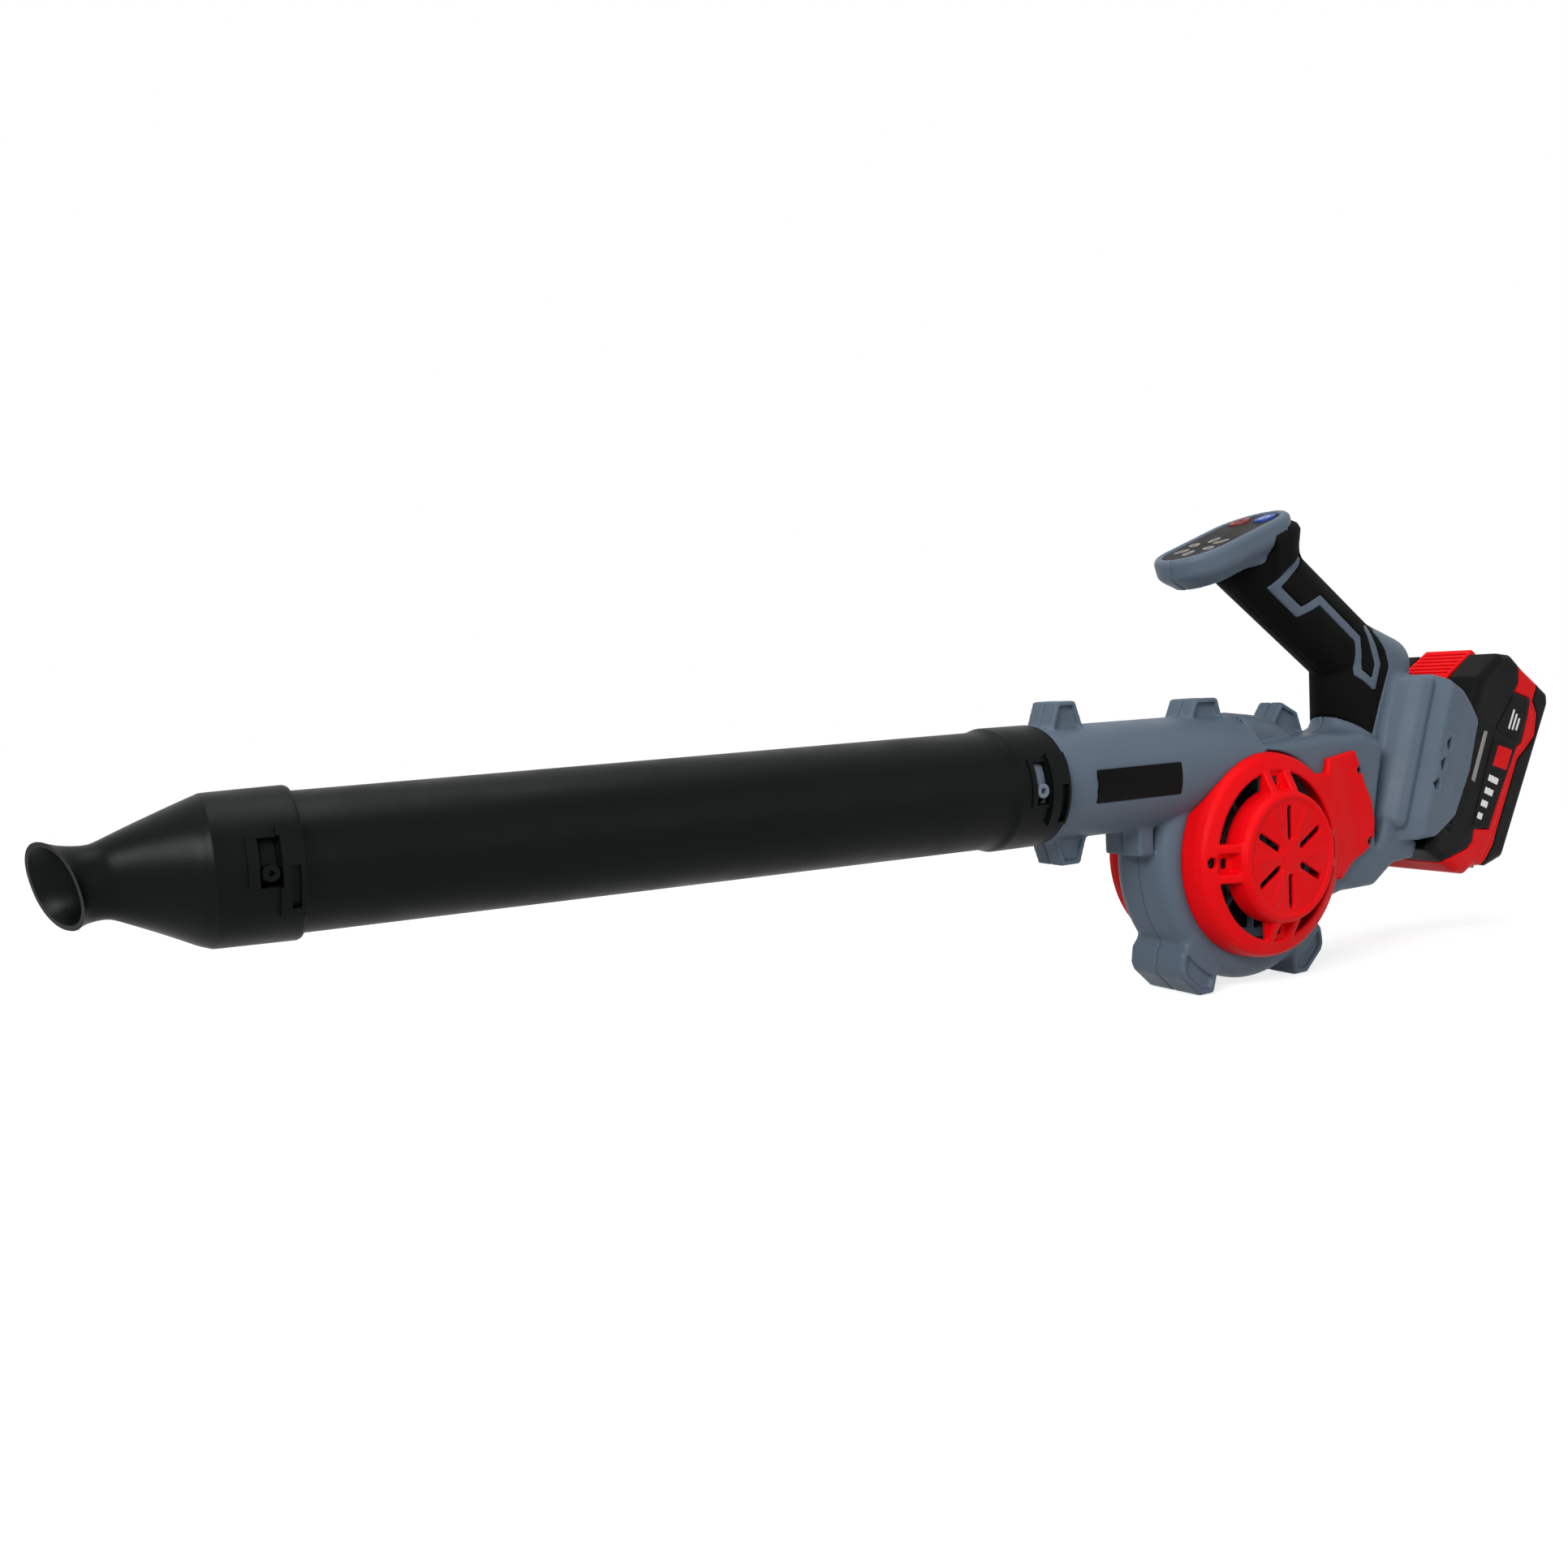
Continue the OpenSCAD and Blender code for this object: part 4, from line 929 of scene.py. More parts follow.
# %% [markdown]
# ## The blow tube and its nozzle
# Both are walls given by an outer and an inner radius over a grid of stations x and
# angles a, where y = -r cos a and z = zc + r sin a. A window is a block of cells
# left out, with the cut edge closed by a strip between the two skins.

# %% Wall surfaces
def stops(low, high, step, marks):
    """Even steps between two ends, with a close pair of values at each mark, which keeps a step crisp."""
    edges = sorted(set([low, high] + [m for m in marks if low < m < high]))
    out = []
    for a, b in zip(edges[:-1], edges[1:]):
        n = max(1, int(math.ceil((b - a) / step)))
        run = np.linspace(a, b, n + 1)
        run[0] += 0.0 if a == low else 0.03
        run[-1] -= 0.0 if b == high else 0.03
        out.extend(run.tolist())
    return np.array(out)


def wall(xs, angles, outer, inner, gone):
    """Points and quads of a closed wall; `outer` and `inner` give points, `gone` marks the cells left out."""
    n, m = len(xs), len(angles)
    X, A = np.meshgrid(xs, angles, indexing="ij")
    points = np.concatenate([outer(X, A).reshape(-1, 3), inner(X, A).reshape(-1, 3)])
    o, q = np.arange(2 * n * m).reshape(2, n, m)
    following = np.roll(angles, -1).copy()
    following[-1] += 360.0
    mid_a = (0.5 * (angles + following) + 180.0) % 360.0 - 180.0
    MX, MA = np.meshgrid(0.5 * (xs[:-1] + xs[1:]), mid_a, indexing="ij")
    solid = ~gone(MX, MA)
    j2 = np.roll(np.arange(m), -1)
    i, j = np.nonzero(solid)
    quads = [
        np.stack([o[i, j], o[i, j2[j]], o[i + 1, j2[j]], o[i + 1, j]], 1),
        np.stack([q[i, j], q[i + 1, j], q[i + 1, j2[j]], q[i, j2[j]]], 1),
    ]
    pad = np.zeros((n + 1, m), bool)
    pad[1:-1] = solid
    before = np.roll(solid, 1, axis=1)
    open_edges = (
        (pad[1:] & ~pad[:-1], 0, 1, False), (~pad[1:] & pad[:-1], 0, 1, True),
        (solid & ~before, 1, 0, True), (~solid & before, 1, 0, False),
    )
    for edges, di, dj, turn in open_edges:
        i, j = np.nonzero(edges)
        i2, k2 = i + di, (j + dj) % m
        rim = np.stack([o[i, j], q[i, j], q[i2, k2], o[i2, k2]], 1)
        quads.append(rim[:, [0, 3, 2, 1]] if turn else rim)
    quads = np.concatenate(quads)
    used = np.unique(quads)
    remap = np.full(len(points), -1)
    remap[used] = np.arange(len(used))
    return points[used], remap[quads][:, ::-1]


def turned(x, r, a):
    """Points at radius r round the tube axis."""
    t = np.radians(a)
    return np.stack([x + 0 * r, -r * np.cos(t), DUCT_Z + r * np.sin(t)], -1)


print("stops from 0 to 1, with a mark at 0.4:", stops(0.0, 1.0, 0.5, [0.4]))

# %% [markdown]
# The tube tapers from the collar to the spigot that the nozzle turns on. The collar
# has a raised pad, a window over the locking boss and a shallow slot beside it.

# %% Blow tube
TUBE_X = np.array([-486.0, -462.03, -461.97, -164.5, -161.0, -157.8, -131.2, -130.0])
TUBE_R = np.array([24.2, 24.2, 24.6, 26.72, 27.1, 28.3, 28.3, 27.9])
FRONT_LATCH_X = -473.5
AROUND_STEP = 2.2


def tube_outer(x, a):
    """Radius read from the turned outline, raised by 1.9 mm on the pad between -33 and 33 degrees."""
    r = np.interp(x, TUBE_X, TUBE_R)
    pad = (x > -142.0) & (x < -131.5) & (np.abs(a) < 33.0)
    slot = pad & (x > -137.0) & (x < -133.0) & (a > -30.0) & (a < 4.0)
    shelf = (x > -152.5) & (x < -142.0) & (np.abs(a - 7.0) < 22.5)
    return turned(x, np.where(slot, 28.3, np.where(pad, 30.2, np.where(shelf, 28.9, r))), a)


def tube_inner(x, a):
    """Radius of the bore: the seat of the duct spigot behind the shoulder, the tapered bore ahead of it."""
    seat = x > -157.3
    return turned(x, np.where(seat, 26.05, np.interp(x, [-486, -461, -157.3], [22.2, 22.2, 24.7])), a)


def tube_gone(x, a):
    """The window over the boss, and the gap that frees the front locking finger."""
    window = (np.abs(x - LATCH_X) < 3.5) & (a > -12.5) & (a < 26.5)
    finger = (np.abs(x - FRONT_LATCH_X) < 2.6) & (a > -12.5) & (a < 46.9)
    boss = (np.abs(x - FRONT_LATCH_X) < 3.8) & (a > -12.5) & (a < 4.0)
    return window | finger | boss


marks = [
    -477.3, -476.1, -470.9, -469.7, -462.0, -161.0, -157.3, -152.5, -150.0, -143.0, -142.0, -137.0, -133.0,
    -131.5,
]
angles = stops(-180.0, 180.0, AROUND_STEP, [-33, -30, -15.5, -12.5, -9, 4, 26.5, 29.5, 33, 46.9])[:-1]
xs = stops(-486.0, -130.0, 3.5, marks)
pts, quads = wall(xs, angles, tube_outer, tube_inner, tube_gone)
piece("tube_skin", pts, quads, "tube", "tube_black", hides=("blow_tube",), crease=32)

# %% [markdown]
# The nozzle starts as a round sleeve, narrows in a straight cone to a throat, and
# ends in a short flare. Its section is a superellipse |y/b|^p + |z/c|^p = 1, with b,
# c and p read from tables, so that the throat can be a little taller than it is
# wide. The mouth is cut slanting, both in plan and from the side, so that its top
# far edge leads.

# %% Nozzle
NOZZLE_X = np.array([-542.0, -540.0, -537.0, -533.0, -529.0, -526.0, -523.0, -490.0, -484.0])
NOZZLE_B = np.array([14.6, 13.4, 12.3, 11.4, 11.1, 11.2, 12.2, 26.0, 26.2])
NOZZLE_C = np.array([14.6, 13.8, 13.0, 12.4, 12.2, 12.5, 13.5, 26.0, 26.2])
NOZZLE_P = np.array([2.2, 2.2, 2.2, 2.2, 2.2, 2.2, 2.15, 2.0, 2.0])
MOUTH_RADIUS = 14.6
MOUTH_LEADS = -543.6
MOUTH_TURN = math.tan(math.radians(23.0))
MOUTH_RAKE = 0.22
NOZZLE_WALL = np.float64(1.7)
CONE_START = -486.3


def oblong(x, a, thick):
    """A point of the section at station x: radius 1 / (|cos/b|^p + |sin/c|^p)^(1/p).

    The slant moves points along x, by nothing at -494 and fully from -542 on."""
    t = np.radians(a)
    b, c, p = (np.interp(x, NOZZLE_X, k) for k in (NOZZLE_B - thick, NOZZLE_C - thick, NOZZLE_P))
    r = (np.abs(np.cos(t) / b) ** p + np.abs(np.sin(t) / c) ** p) ** (-1.0 / p)
    y, z = -r * np.cos(t), r * np.sin(t)
    cut = MOUTH_LEADS + (MOUTH_RADIUS - y) * MOUTH_TURN + (MOUTH_RADIUS - z) * MOUTH_RAKE
    reach = np.clip((-494.0 - x) / 48.0, 0.0, 1.0)
    return np.stack([x + (cut + TIP) * reach, y, DUCT_Z + z], -1)


def nozzle_outer(x, a):
    """The sleeve with its pad and notch, then the cone and the flare."""
    r = np.interp(x, [-491, -488.5, -463.0, -462.05], [25.95, 26.2, 26.8, 26.4])
    pad = (x > -471.05) & (x < -462.85) & (np.abs(a) < 33.0)
    notch = pad & (x > -467.55) & (x < -464.55) & (a > -26.0) & (a < 4.0)
    shelf = (x > -480.5) & (x < -471.05) & (np.abs(a - 9.0) < 19.0)
    sleeve = turned(x, np.where(notch, 26.8, np.where(pad, 28.7, np.where(shelf, 27.3, r))), a)
    return np.where((x > -490.0)[..., None], sleeve, oblong(x, a, 0.0))


def nozzle_inner(x, a):
    """The seat on the tube, then the same section less its wall."""
    seat = turned(x, 24.25 + 0 * x, a)
    return np.where((x > CONE_START)[..., None], seat, oblong(np.minimum(x, CONE_START), a, NOZZLE_WALL))


def nozzle_gone(x, a):
    """The window over the front boss."""
    return (np.abs(x - FRONT_LATCH_X) < 3.5) & (a > -10.5) & (a < 25.0)


marks = [-490.0, CONE_START, -480.5, -477.0, -471.05, -470.0, -467.55, -464.55, -462.85]
angles = stops(-180.0, 180.0, AROUND_STEP, [-33, -26, -10.5, 4, 25, 28, 33])[:-1]
xs = stops(-TIP, -462.05, 1.6, marks)
pts, quads = wall(xs, angles, nozzle_outer, nozzle_inner, nozzle_gone)
piece("nozzle_skin", pts, quads, "nozzle_piece", "tube_black", hides=("nozzle",), crease=32)

# %% [markdown]
# ## Soft grip and its stripe
# The rubber is the outer 3 mm of the handle inside the grip outline, moulded over
# the hard handle. A groove for the stripe follows a bent line given width: each
# corner is mitred by the sum of the two neighbouring normals over 1 + n1 . n2.

# %% Soft grip
STRIPE = [
    (47, 151), (26, 134), (45, 121), (59, 127), (89, 106), (90.5, 88), (101.5, 81), (105.5, 92), (98, 113),
]
GRIP_RADIUS = 16.5
CORE_RADIUS = 13.4
GROOVE_FLOOR = 15.0


def ribbon(points, width):
    """Outline of a bent line of even width, with mitred corners."""
    p = np.array(points, float)
    d = np.diff(p, axis=0)
    n = np.stack([-d[:, 1], d[:, 0]], 1) / np.hypot(d[:, 0], d[:, 1])[:, None]
    m = np.vstack([n[:1], (n[:-1] + n[1:]) / (1.0 + (n[:-1] * n[1:]).sum(1))[:, None], n[-1:]])
    return [tuple(k) for k in np.vstack([p + m * width / 2, (p - m * width / 2)[::-1]])]


stripe_plan = poly(ribbon(STRIPE, 5.0))


def rubber(x, h, z):
    """The handle's outer layer inside the grip outline."""
    outer = both(handle(x, h, z, GRIP_RADIUS), grip_plan(x, z) + 0.12, 0.9)
    return both(outer, CORE_RADIUS - handle(x, h, z, 0.0))


def groove(x, h, z):
    """The room for the stripe."""
    return both(stripe_plan(x, z) - 0.12, GROOVE_FLOOR - handle(x, h, z, 0.0))


def stripe(x, h, z):
    """The stripe, 0.15 mm below the rubber."""
    outer = both(handle(x, h, z, GRIP_RADIUS - 0.15), stripe_plan(x, z) + 0.1, 0.7)
    return both(outer, GROOVE_FLOOR - handle(x, h, z, 0.0))


def grip_field(step):
    """The soft layer with the collar, less the handle's core, the hard head and the groove."""
    whole = ((0, 0, 49), (120, 24, 176))
    f = Field((0, -2.0, 49), (120, 24.0, 176), step)
    f.add(rubber, *whole)
    f.add(collar, (0, 0, 130), (56, 24, 176), 6.0)
    f.cut(lambda x, h, z: handle(x, h, z, CORE_RADIUS), *whole)
    f.cut(lambda x, h, z: bare_head(x, h, z) - 0.1, *whole)
    f.cut(groove, *whole, k=0.5)
    f.keep(upper_half)
    return f


def stripe_field(step):
    """The stripe, stopped short of the head and the collar."""
    whole = ((18, 0, 78), (112, 17, 160))
    f = Field((18, -2.0, 78), (112, 17.4, 160), step)
    f.add(stripe, *whole)
    f.cut(lambda x, h, z: np.minimum(head(x, h, z), collar(x, h, z)) - 0.1, *whole)
    f.keep(lambda x, h, z: np.maximum(upper_half(x, h, z), grip_plan(x, z)))
    return f


for side, label in SIDES:
    pts, quads = mirrored(*grip_field(0.75).skin(), side)
    piece("grip_skin_" + label, pts, quads, "housing", "soft_grip", hides=("grip_" + label,))
    pts, quads = mirrored(*stripe_field(0.6).skin(), side)
    piece("stripe_skin_" + label, pts, quads, "housing", "grey_housing", hides=("grip_trim_" + label,))

# %% [markdown]
# ## Small flat and turned things
# Printed marks are strips: two edge lines of equal count, given a lower and an upper
# height in the head's own axes (s along, h across, n outward). Buttons and screws
# are turned caps: an outline of radius and height, run round an axis.

# %% Strips and caps
def from_head(s, h, n):
    """Turns head axes back: x = X + s cos t - n sin t, z = Z + s sin t + n cos t."""
    s, h, n = np.broadcast_arrays(np.asarray(s, float), h, n)
    c, d = math.cos(HEAD_LEAN), math.sin(HEAD_LEAN)
    return np.stack([HEAD_X + s * c - n * d, h, HEAD_Z + s * d + n * c], -1)


def strip_solid(a, b, low, high):
    """A closed strip between edge lines a and b, rows of (s, h), from height low to high."""
    a, b = np.asarray(a, float), np.asarray(b, float)
    n = len(a)
    lines = ((a, high), (b, high), (a, low), (b, low))
    pts = np.concatenate([from_head(e[:, 0], e[:, 1], k) for e, k in lines])
    A = np.arange(n - 1)
    B, C, D = n + A, 2 * n + A, 3 * n + A
    faces = ((A, B, B + 1, A + 1), (C, C + 1, D + 1, D), (A, A + 1, C + 1, C), (B, D, D + 1, B + 1))
    ends = np.array([[0, 2 * n, 3 * n, n], [n - 1, 2 * n - 1, 4 * n - 1, 3 * n - 1]])
    quads = np.concatenate([np.stack(q, 1) for q in faces] + [ends])
    turn = np.cross(b[0] - a[0], a[1] - a[0])
    return pts, (quads if turn > 0 else quads[:, ::-1])


def ellipse_strip(cs, ch, long, wide, turn, low, high, n=17):
    """An oval as a strip: half-width wide * sqrt(1 - t^2) along its long axis."""
    t = np.sin(np.linspace(-1.45, 1.45, n))
    w = wide * np.sqrt(1.0 - t * t)
    c, d = math.cos(turn), math.sin(turn)
    s, h = cs + long * t * c, ch + long * t * d
    over, under = (np.stack([s - k * w * d, h + k * w * c], 1) for k in (1, -1))
    return strip_solid(over, under, low, high)


def arc_strip(cs, ch, r0, r1, a0, a1, low, high, n=25):
    """Part of a flat ring between two radii and two angles in degrees."""
    a = np.radians(np.linspace(a0, a1, n))
    outer, inner = (np.stack([cs + r * np.cos(a), ch + r * np.sin(a)], 1) for r in (r1, r0))
    return strip_solid(outer, inner, low, high)


def cap(outline, n, place):
    """A closed turned solid from rows of (radius, height) that start and end near the axis.

    `place` turns the two offsets across the axis and the height into points."""
    a = np.arange(n) * 2 * math.pi / n
    pts = np.concatenate([place(r * np.cos(a), r * np.sin(a), z) for r, z in outline])
    i, j = np.arange(n), (np.arange(n) + 1) % n
    m = len(outline) - 1
    quads = [np.stack([k * n + i, (k + 1) * n + i, (k + 1) * n + j, k * n + j], 1) for k in range(m)]
    h = np.arange(0, n // 2 - 1)
    quads.append(np.stack([h, h + 1, n - 2 - h, n - 1 - h], 1))
    quads.append(np.stack([m * n + h, m * n + n - 1 - h, m * n + n - 2 - h, m * n + h + 1], 1))
    return pts, np.concatenate(quads)


print("strips and caps ready")

# %% [markdown]
# ## Control panel
# The panel is a thin oval plate let into the head, with a round hole for each of
# the two buttons. A soft rim catches the light.

# %% Control panel
BUTTON_S, BUTTON_H = 25.2, 8.2
PANEL_HALF = 18.9
PANEL_RADIUS = 17.35


def panel(x, h, z):
    """A flat oval plate with a soft rim."""
    s, n = on_head(x, z)
    return slab(long_round(s, h, PANEL_HALF) - PANEL_RADIUS, n + 1.7, 1.05, 0.5)


def button_hole(way):
    """A round hole on one side of the middle."""
    def shape(x, h, z):
        s, n = on_head(x, z)
        return np.hypot(s - BUTTON_S, h - way * BUTTON_H) - 5.55 + 0 * x
    return shape


f = Field((-38, -18.6, 138), (44, 18.6, 180), 0.55)
f.add(panel, (-38, -18, 138), (44, 18, 180))
for way in (-1, 1):
    middle = way * BUTTON_H
    f.cut(button_hole(way), (14, middle - 7, 150), (40, middle + 7, 180), 0.3)
pts, quads = f.skin()
piece("panel_skin", pts, quads, "housing", "panel_black", hides=("control_panel",))

# %% [markdown]
# The buttons are domed caps on a wider foot that keeps them in. The red one switches
# the tool on and carries an open ring with a bar; the blue one speeds it up and
# carries three arcs.

# %% Buttons
CAP = [
    (0.3, 0.12), (2.6, 0.16), (3.9, 0.3), (4.8, 0.36), (5.2, 0.25), (5.38, -0.1), (5.4, -2.8), (5.7, -2.8),
    (5.7, -4.3), (0.3, -4.3),
]
MARK_LOW, MARK_HIGH = 0.1, 0.32


def three_arc(k):
    """One of three arcs round the blue button, at angle k."""
    middle = math.degrees(k)
    cs, ch = BUTTON_S + 1.1 * math.cos(k), -BUTTON_H + 1.1 * math.sin(k)
    return arc_strip(cs, ch, 1.2, 1.9, middle - 80, middle + 80, MARK_LOW, MARK_HIGH)


power_marks = [
    arc_strip(BUTTON_S, BUTTON_H, 2.0, 2.7, -60, 240, MARK_LOW, 0.3),
    arc_strip(BUTTON_S, BUTTON_H, 0.2, 0.9, -20, 20, MARK_LOW, 0.3),
    strip_solid([(24.85, 5.2), (24.85, 7.9)], [(25.55, 5.2), (25.55, 7.9)], MARK_LOW, MARK_HIGH),
]
boost_marks = [three_arc(k) for k in (0.5, 2.6, 4.7)]
for name, way, body, colour, ink, drawn in (
        ("power_button", 1, "power", "power_red", "mark_dark", power_marks),
        ("boost_button", -1, "boost", "blue_button", "mark_pale", boost_marks)):
    pts, quads = cap(CAP, 48, lambda p, q, z: from_head(BUTTON_S + p, way * BUTTON_H + q, z))
    piece(name + "_skin", pts, quads, body, colour, hides=(name,), crease=35)
    pts, quads = gathered(drawn)
    piece(name + "_mark", pts, quads, body, ink)

# %% [markdown]
# Six printed petals stand in a ring at the front of the panel. A small lamp shows
# in each.

# %% Petals
PETALS_S = -15.5
petals, lamps = [], []
for k in range(6):
    a = math.radians(60 * k)
    c, d = math.cos(a), math.sin(a)
    petals.append(ellipse_strip(PETALS_S + 10.0 * c, 10.0 * d, 4.1, 2.7, a, -0.7, -0.5))
    lamps.append(ellipse_strip(PETALS_S + 10.4 * c, 10.4 * d, 2.2, 1.2, a, -0.52, -0.42, 11))
pts, quads = gathered(petals)
piece("petal_skin", pts, quads, "housing", "silver_print", hides=("indicator_petals",))
pts, quads = gathered(lamps)
piece("petal_lamps", pts, quads, "housing", "lamp_grey")

# %% [markdown]
# ## Battery
# The pack is drawn in its own axes (v, h, u) and turned into place afterwards. One
# body is shared out between the black case, the red band and the black cap; each
# keeps a small distance from the next, which leaves the parting grooves.

# %% Battery outlines
PACK = [
    (110.5, 48), (139, 46), (148, 48.5), (153, 55), (164, 59), (176, 70), (177.5, 166), (174, 172),
    (162, 173), (146, 174), (132, 176), (122, 172), (110.5, 152),
]
CASE = [
    (90, 30), (127.1, 30), (127.1, 49.4), (141.6, 61.5), (144.3, 66.8), (142.7, 73.6), (155.7, 79),
    (156.7, 129.2), (162.3, 135), (161, 151), (158.8, 161), (142.9, 157.9), (144.2, 164.1), (140.9, 171.3),
    (140.9, 190), (90, 190),
]
REAR = [
    (159, 30), (159, 59), (163, 72), (162.5, 79), (162.5, 125), (167.5, 134), (172, 144), (168, 156),
    (161, 161), (161, 190), (200, 190), (200, 30),
]
POCKET = [(100, 145.7), (115.5, 145.7), (119.5, 152), (131.5, 168.5), (131.5, 180), (100, 180)]
PACK_HALF = 35.5
POCKET_HALF = 15.3
PARTING = 0.15
pack_plan, case_plan, rear_plan, pocket_plan = poly(PACK), poly(CASE), poly(REAR), poly(POCKET)


def from_pack(points):
    """Turns (v, y, u) back: x = v cos t + u sin t, z = -v sin t + u cos t."""
    v, y, u = points.T
    c, s = math.cos(PACK_LEAN), math.sin(PACK_LEAN)
    return np.stack([v * c + u * s, y, -v * s + u * c], 1)


def release_pocket(v, h, u):
    """The room for the release in the top front corner."""
    return np.maximum(pocket_plan(v, u), np.abs(h) - POCKET_HALF)


def pack_body(v, h, u):
    """The rounded pack: a thick slab whose long edges are bevelled, less the space for the cells."""
    d = pack_plan(v, u)
    h = np.abs(h)
    bevelled = (d + h - PACK_HALF + 2.9) * 0.7071
    body = both(slab(d, h, PACK_HALF, 1.6), bevelled, 1.2)
    room = np.maximum(box(v - 140.1, 26.5, u - 104.0, 47.0), h - 33.0)
    return np.maximum(body, -np.maximum(room, 1.6 - release_pocket(v, h, u)))


print("the pack is", 2 * PACK_HALF, "mm wide")

# %% [markdown]
# The case has the pocket for the release, and three short lines low on each side.
# The band has a fine groove along its rear border. The cap has four shallow slots
# across its back.

# %% Battery shell
def short_line(u0):
    """A line low on the side of the case, 0.7 mm deep."""
    return lambda v, h, u: slab(box(v - 117.5, 4.5, u - u0, 0.9), np.abs(h) - 36.0, 1.2, 0.3)


def border_groove(v, h, u):
    """A line 2.6 mm ahead of the cap's outline, 0.7 mm deep."""
    return both(np.abs(rear_plan(v, u) - 2.6) - 0.45, 34.8 - np.abs(h))


def back_slot(u0):
    """A slot across the back of the cap."""
    return lambda v, h, u: np.maximum(np.abs(u - u0) - 0.8, np.maximum(np.abs(h) - 22.0, 176.2 - v))


def case_share(f):
    """Keeps the case, then cuts the pocket and three lines."""
    f.keep(lambda v, h, u: case_plan(v, u) + PARTING + 0 * h)
    f.cut(release_pocket, (100, -16, 140), (135, 16, 180))
    for u0 in (64.0, 68.5, 73.0):
        f.cut(short_line(u0), (110, -37, 60), (124, 37, 78), 0.3)


def band_share(f):
    """Keeps the band between case and cap, then cuts its border groove."""
    f.keep(lambda v, h, u: np.maximum(-case_plan(v, u) + PARTING, -rear_plan(v, u) + PARTING) + 0 * h)
    f.cut(border_groove, (140, -37, 62), (175, 37, 170), 0.4)


def cap_share(f):
    """Keeps the cap, then cuts four slots across its back."""
    f.keep(lambda v, h, u: rear_plan(v, u) + PARTING + 0 * h)
    for u0 in (86.0, 100.0, 114.0, 128.0):
        f.cut(back_slot(u0), (174, -23, 80), (180, 23, 134), 0.5)


shares = (
    ("case", case_share, "pack_black"),
    ("band", band_share, "pack_red"),
    ("cap", cap_share, "pack_black"),
)
for kind, share, colour in shares:
    f = Field((108, -37, 44), (180, 37, 178), 0.95)
    f.add(pack_body, (108, -37, 44), (180, 37, 178))
    share(f)
    pts, quads = f.skin()
    piece("pack_" + kind, from_pack(pts), quads, "battery", colour, hides=("battery_" + kind,))

# %% [markdown]
# The release slides down a slope in the top front corner. Six grooves cross it, so
# that a thumb finds hold.

# %% Battery release
RELEASE = [
    (109.5, 148.8), (113.6, 148.4), (117.4, 153.6), (129.3, 169.9), (129.2, 176.2), (125.0, 176.6),
    (110.0, 153.5),
]
SLOPE_COS, SLOPE_SIN = 0.842, 0.539
release_plan = poly(RELEASE)


def rib(v0, u0):
    """A groove across the slope at (v0, u0)."""
    def shape(v, h, u):
        p = (v - v0) * SLOPE_COS - (u - u0) * SLOPE_SIN
        q = (v - v0) * SLOPE_SIN + (u - u0) * SLOPE_COS
        return np.maximum(box(q, 0.75, p, 2.6), np.abs(h) - 13.4)
    return shape


f = Field((107, -16.5, 144), (134, 16.5, 179), 0.5)
f.add(lambda v, h, u: slab(release_plan(v, u), h, 14.9, 1.0), (107, -16, 144), (134, 16, 179))
for k in range(6):
    v0, u0 = 111.6 + 2.2 * k, 155.6 + 3.4 * k
    f.cut(rib(v0, u0), (v0 - 4, -14, u0 - 4), (v0 + 4, 14, u0 + 4), 0.4)
pts, quads = f.skin()
piece("release_skin", from_pack(pts), quads, "release", "red_cover", hides=("battery_release",))

# %% [markdown]
# The plates stand 0.35 mm proud of the near side. They carry no words: only plain
# bars, a row of four that grows like a charge gauge and three short ones above.

# %% Plates on the battery
PLATE_LOW, PLATE_HIGH = 34.9, 35.85
INK_LOW, INK_HIGH = 35.55, 35.9
UPPER = [(141.3, 155.5), (156.2, 160.4), (159.9, 149.3), (158, 134.1), (143, 131.7), (134.8, 131.2)]
LOWER = [(135.1, 127), (158.6, 132.8), (154.2, 78.3), (138.8, 74.1)]
GAUGE_BAR = [(126.2, 126.2), (129.4, 127.1), (131, 96.8), (127.4, 96.8)]
FINE = 0.42
COARSE = FINE


def near_plate(plan, low, high, span, step, edge, inset=0.0):
    """A thin plate on the near side, y = -h, between two distances from the middle plane."""
    v0, u0, v1, u1 = span
    f = Field((v0, low - 1.5, u0), (v1, high + 1.5, u1), step)
    middle, half = 0.5 * (low + high), 0.5 * (high - low)
    f.add(lambda v, h, u: slab(plan(v, u) + inset, h - middle, half, edge), (v0, low, u0), (v1, high, u1))
    p, q = mirrored(*f.skin(), -1)
    return from_pack(p), q


def slanted(v0, u0, wide, tall, skew):
    """Outline of a bar whose far side stands higher by skew times its width."""
    v1, up = v0 + wide, u0 + skew * wide
    return poly([(v0, u0), (v1, up), (v1, up + tall), (v0, u0 + tall)])


plates = [
    near_plate(poly(plan), PLATE_LOW, PLATE_HIGH, span, COARSE, 0.25, 0.25)
    for plan, span in ((UPPER, (132, 129, 163, 163)), (LOWER, (133, 72, 161, 135)))
]
pts, quads = gathered(plates)
piece("label_skin", pts, quads, "battery", "bare_plate", hides=("label_plates",))
pts, quads = near_plate(poly(GAUGE_BAR), PLATE_LOW, PLATE_HIGH, (124, 94, 133, 130), FINE, 0.25)
piece("gauge_bar", pts, quads, "battery", "silver_print", hides=("battery_strip",))

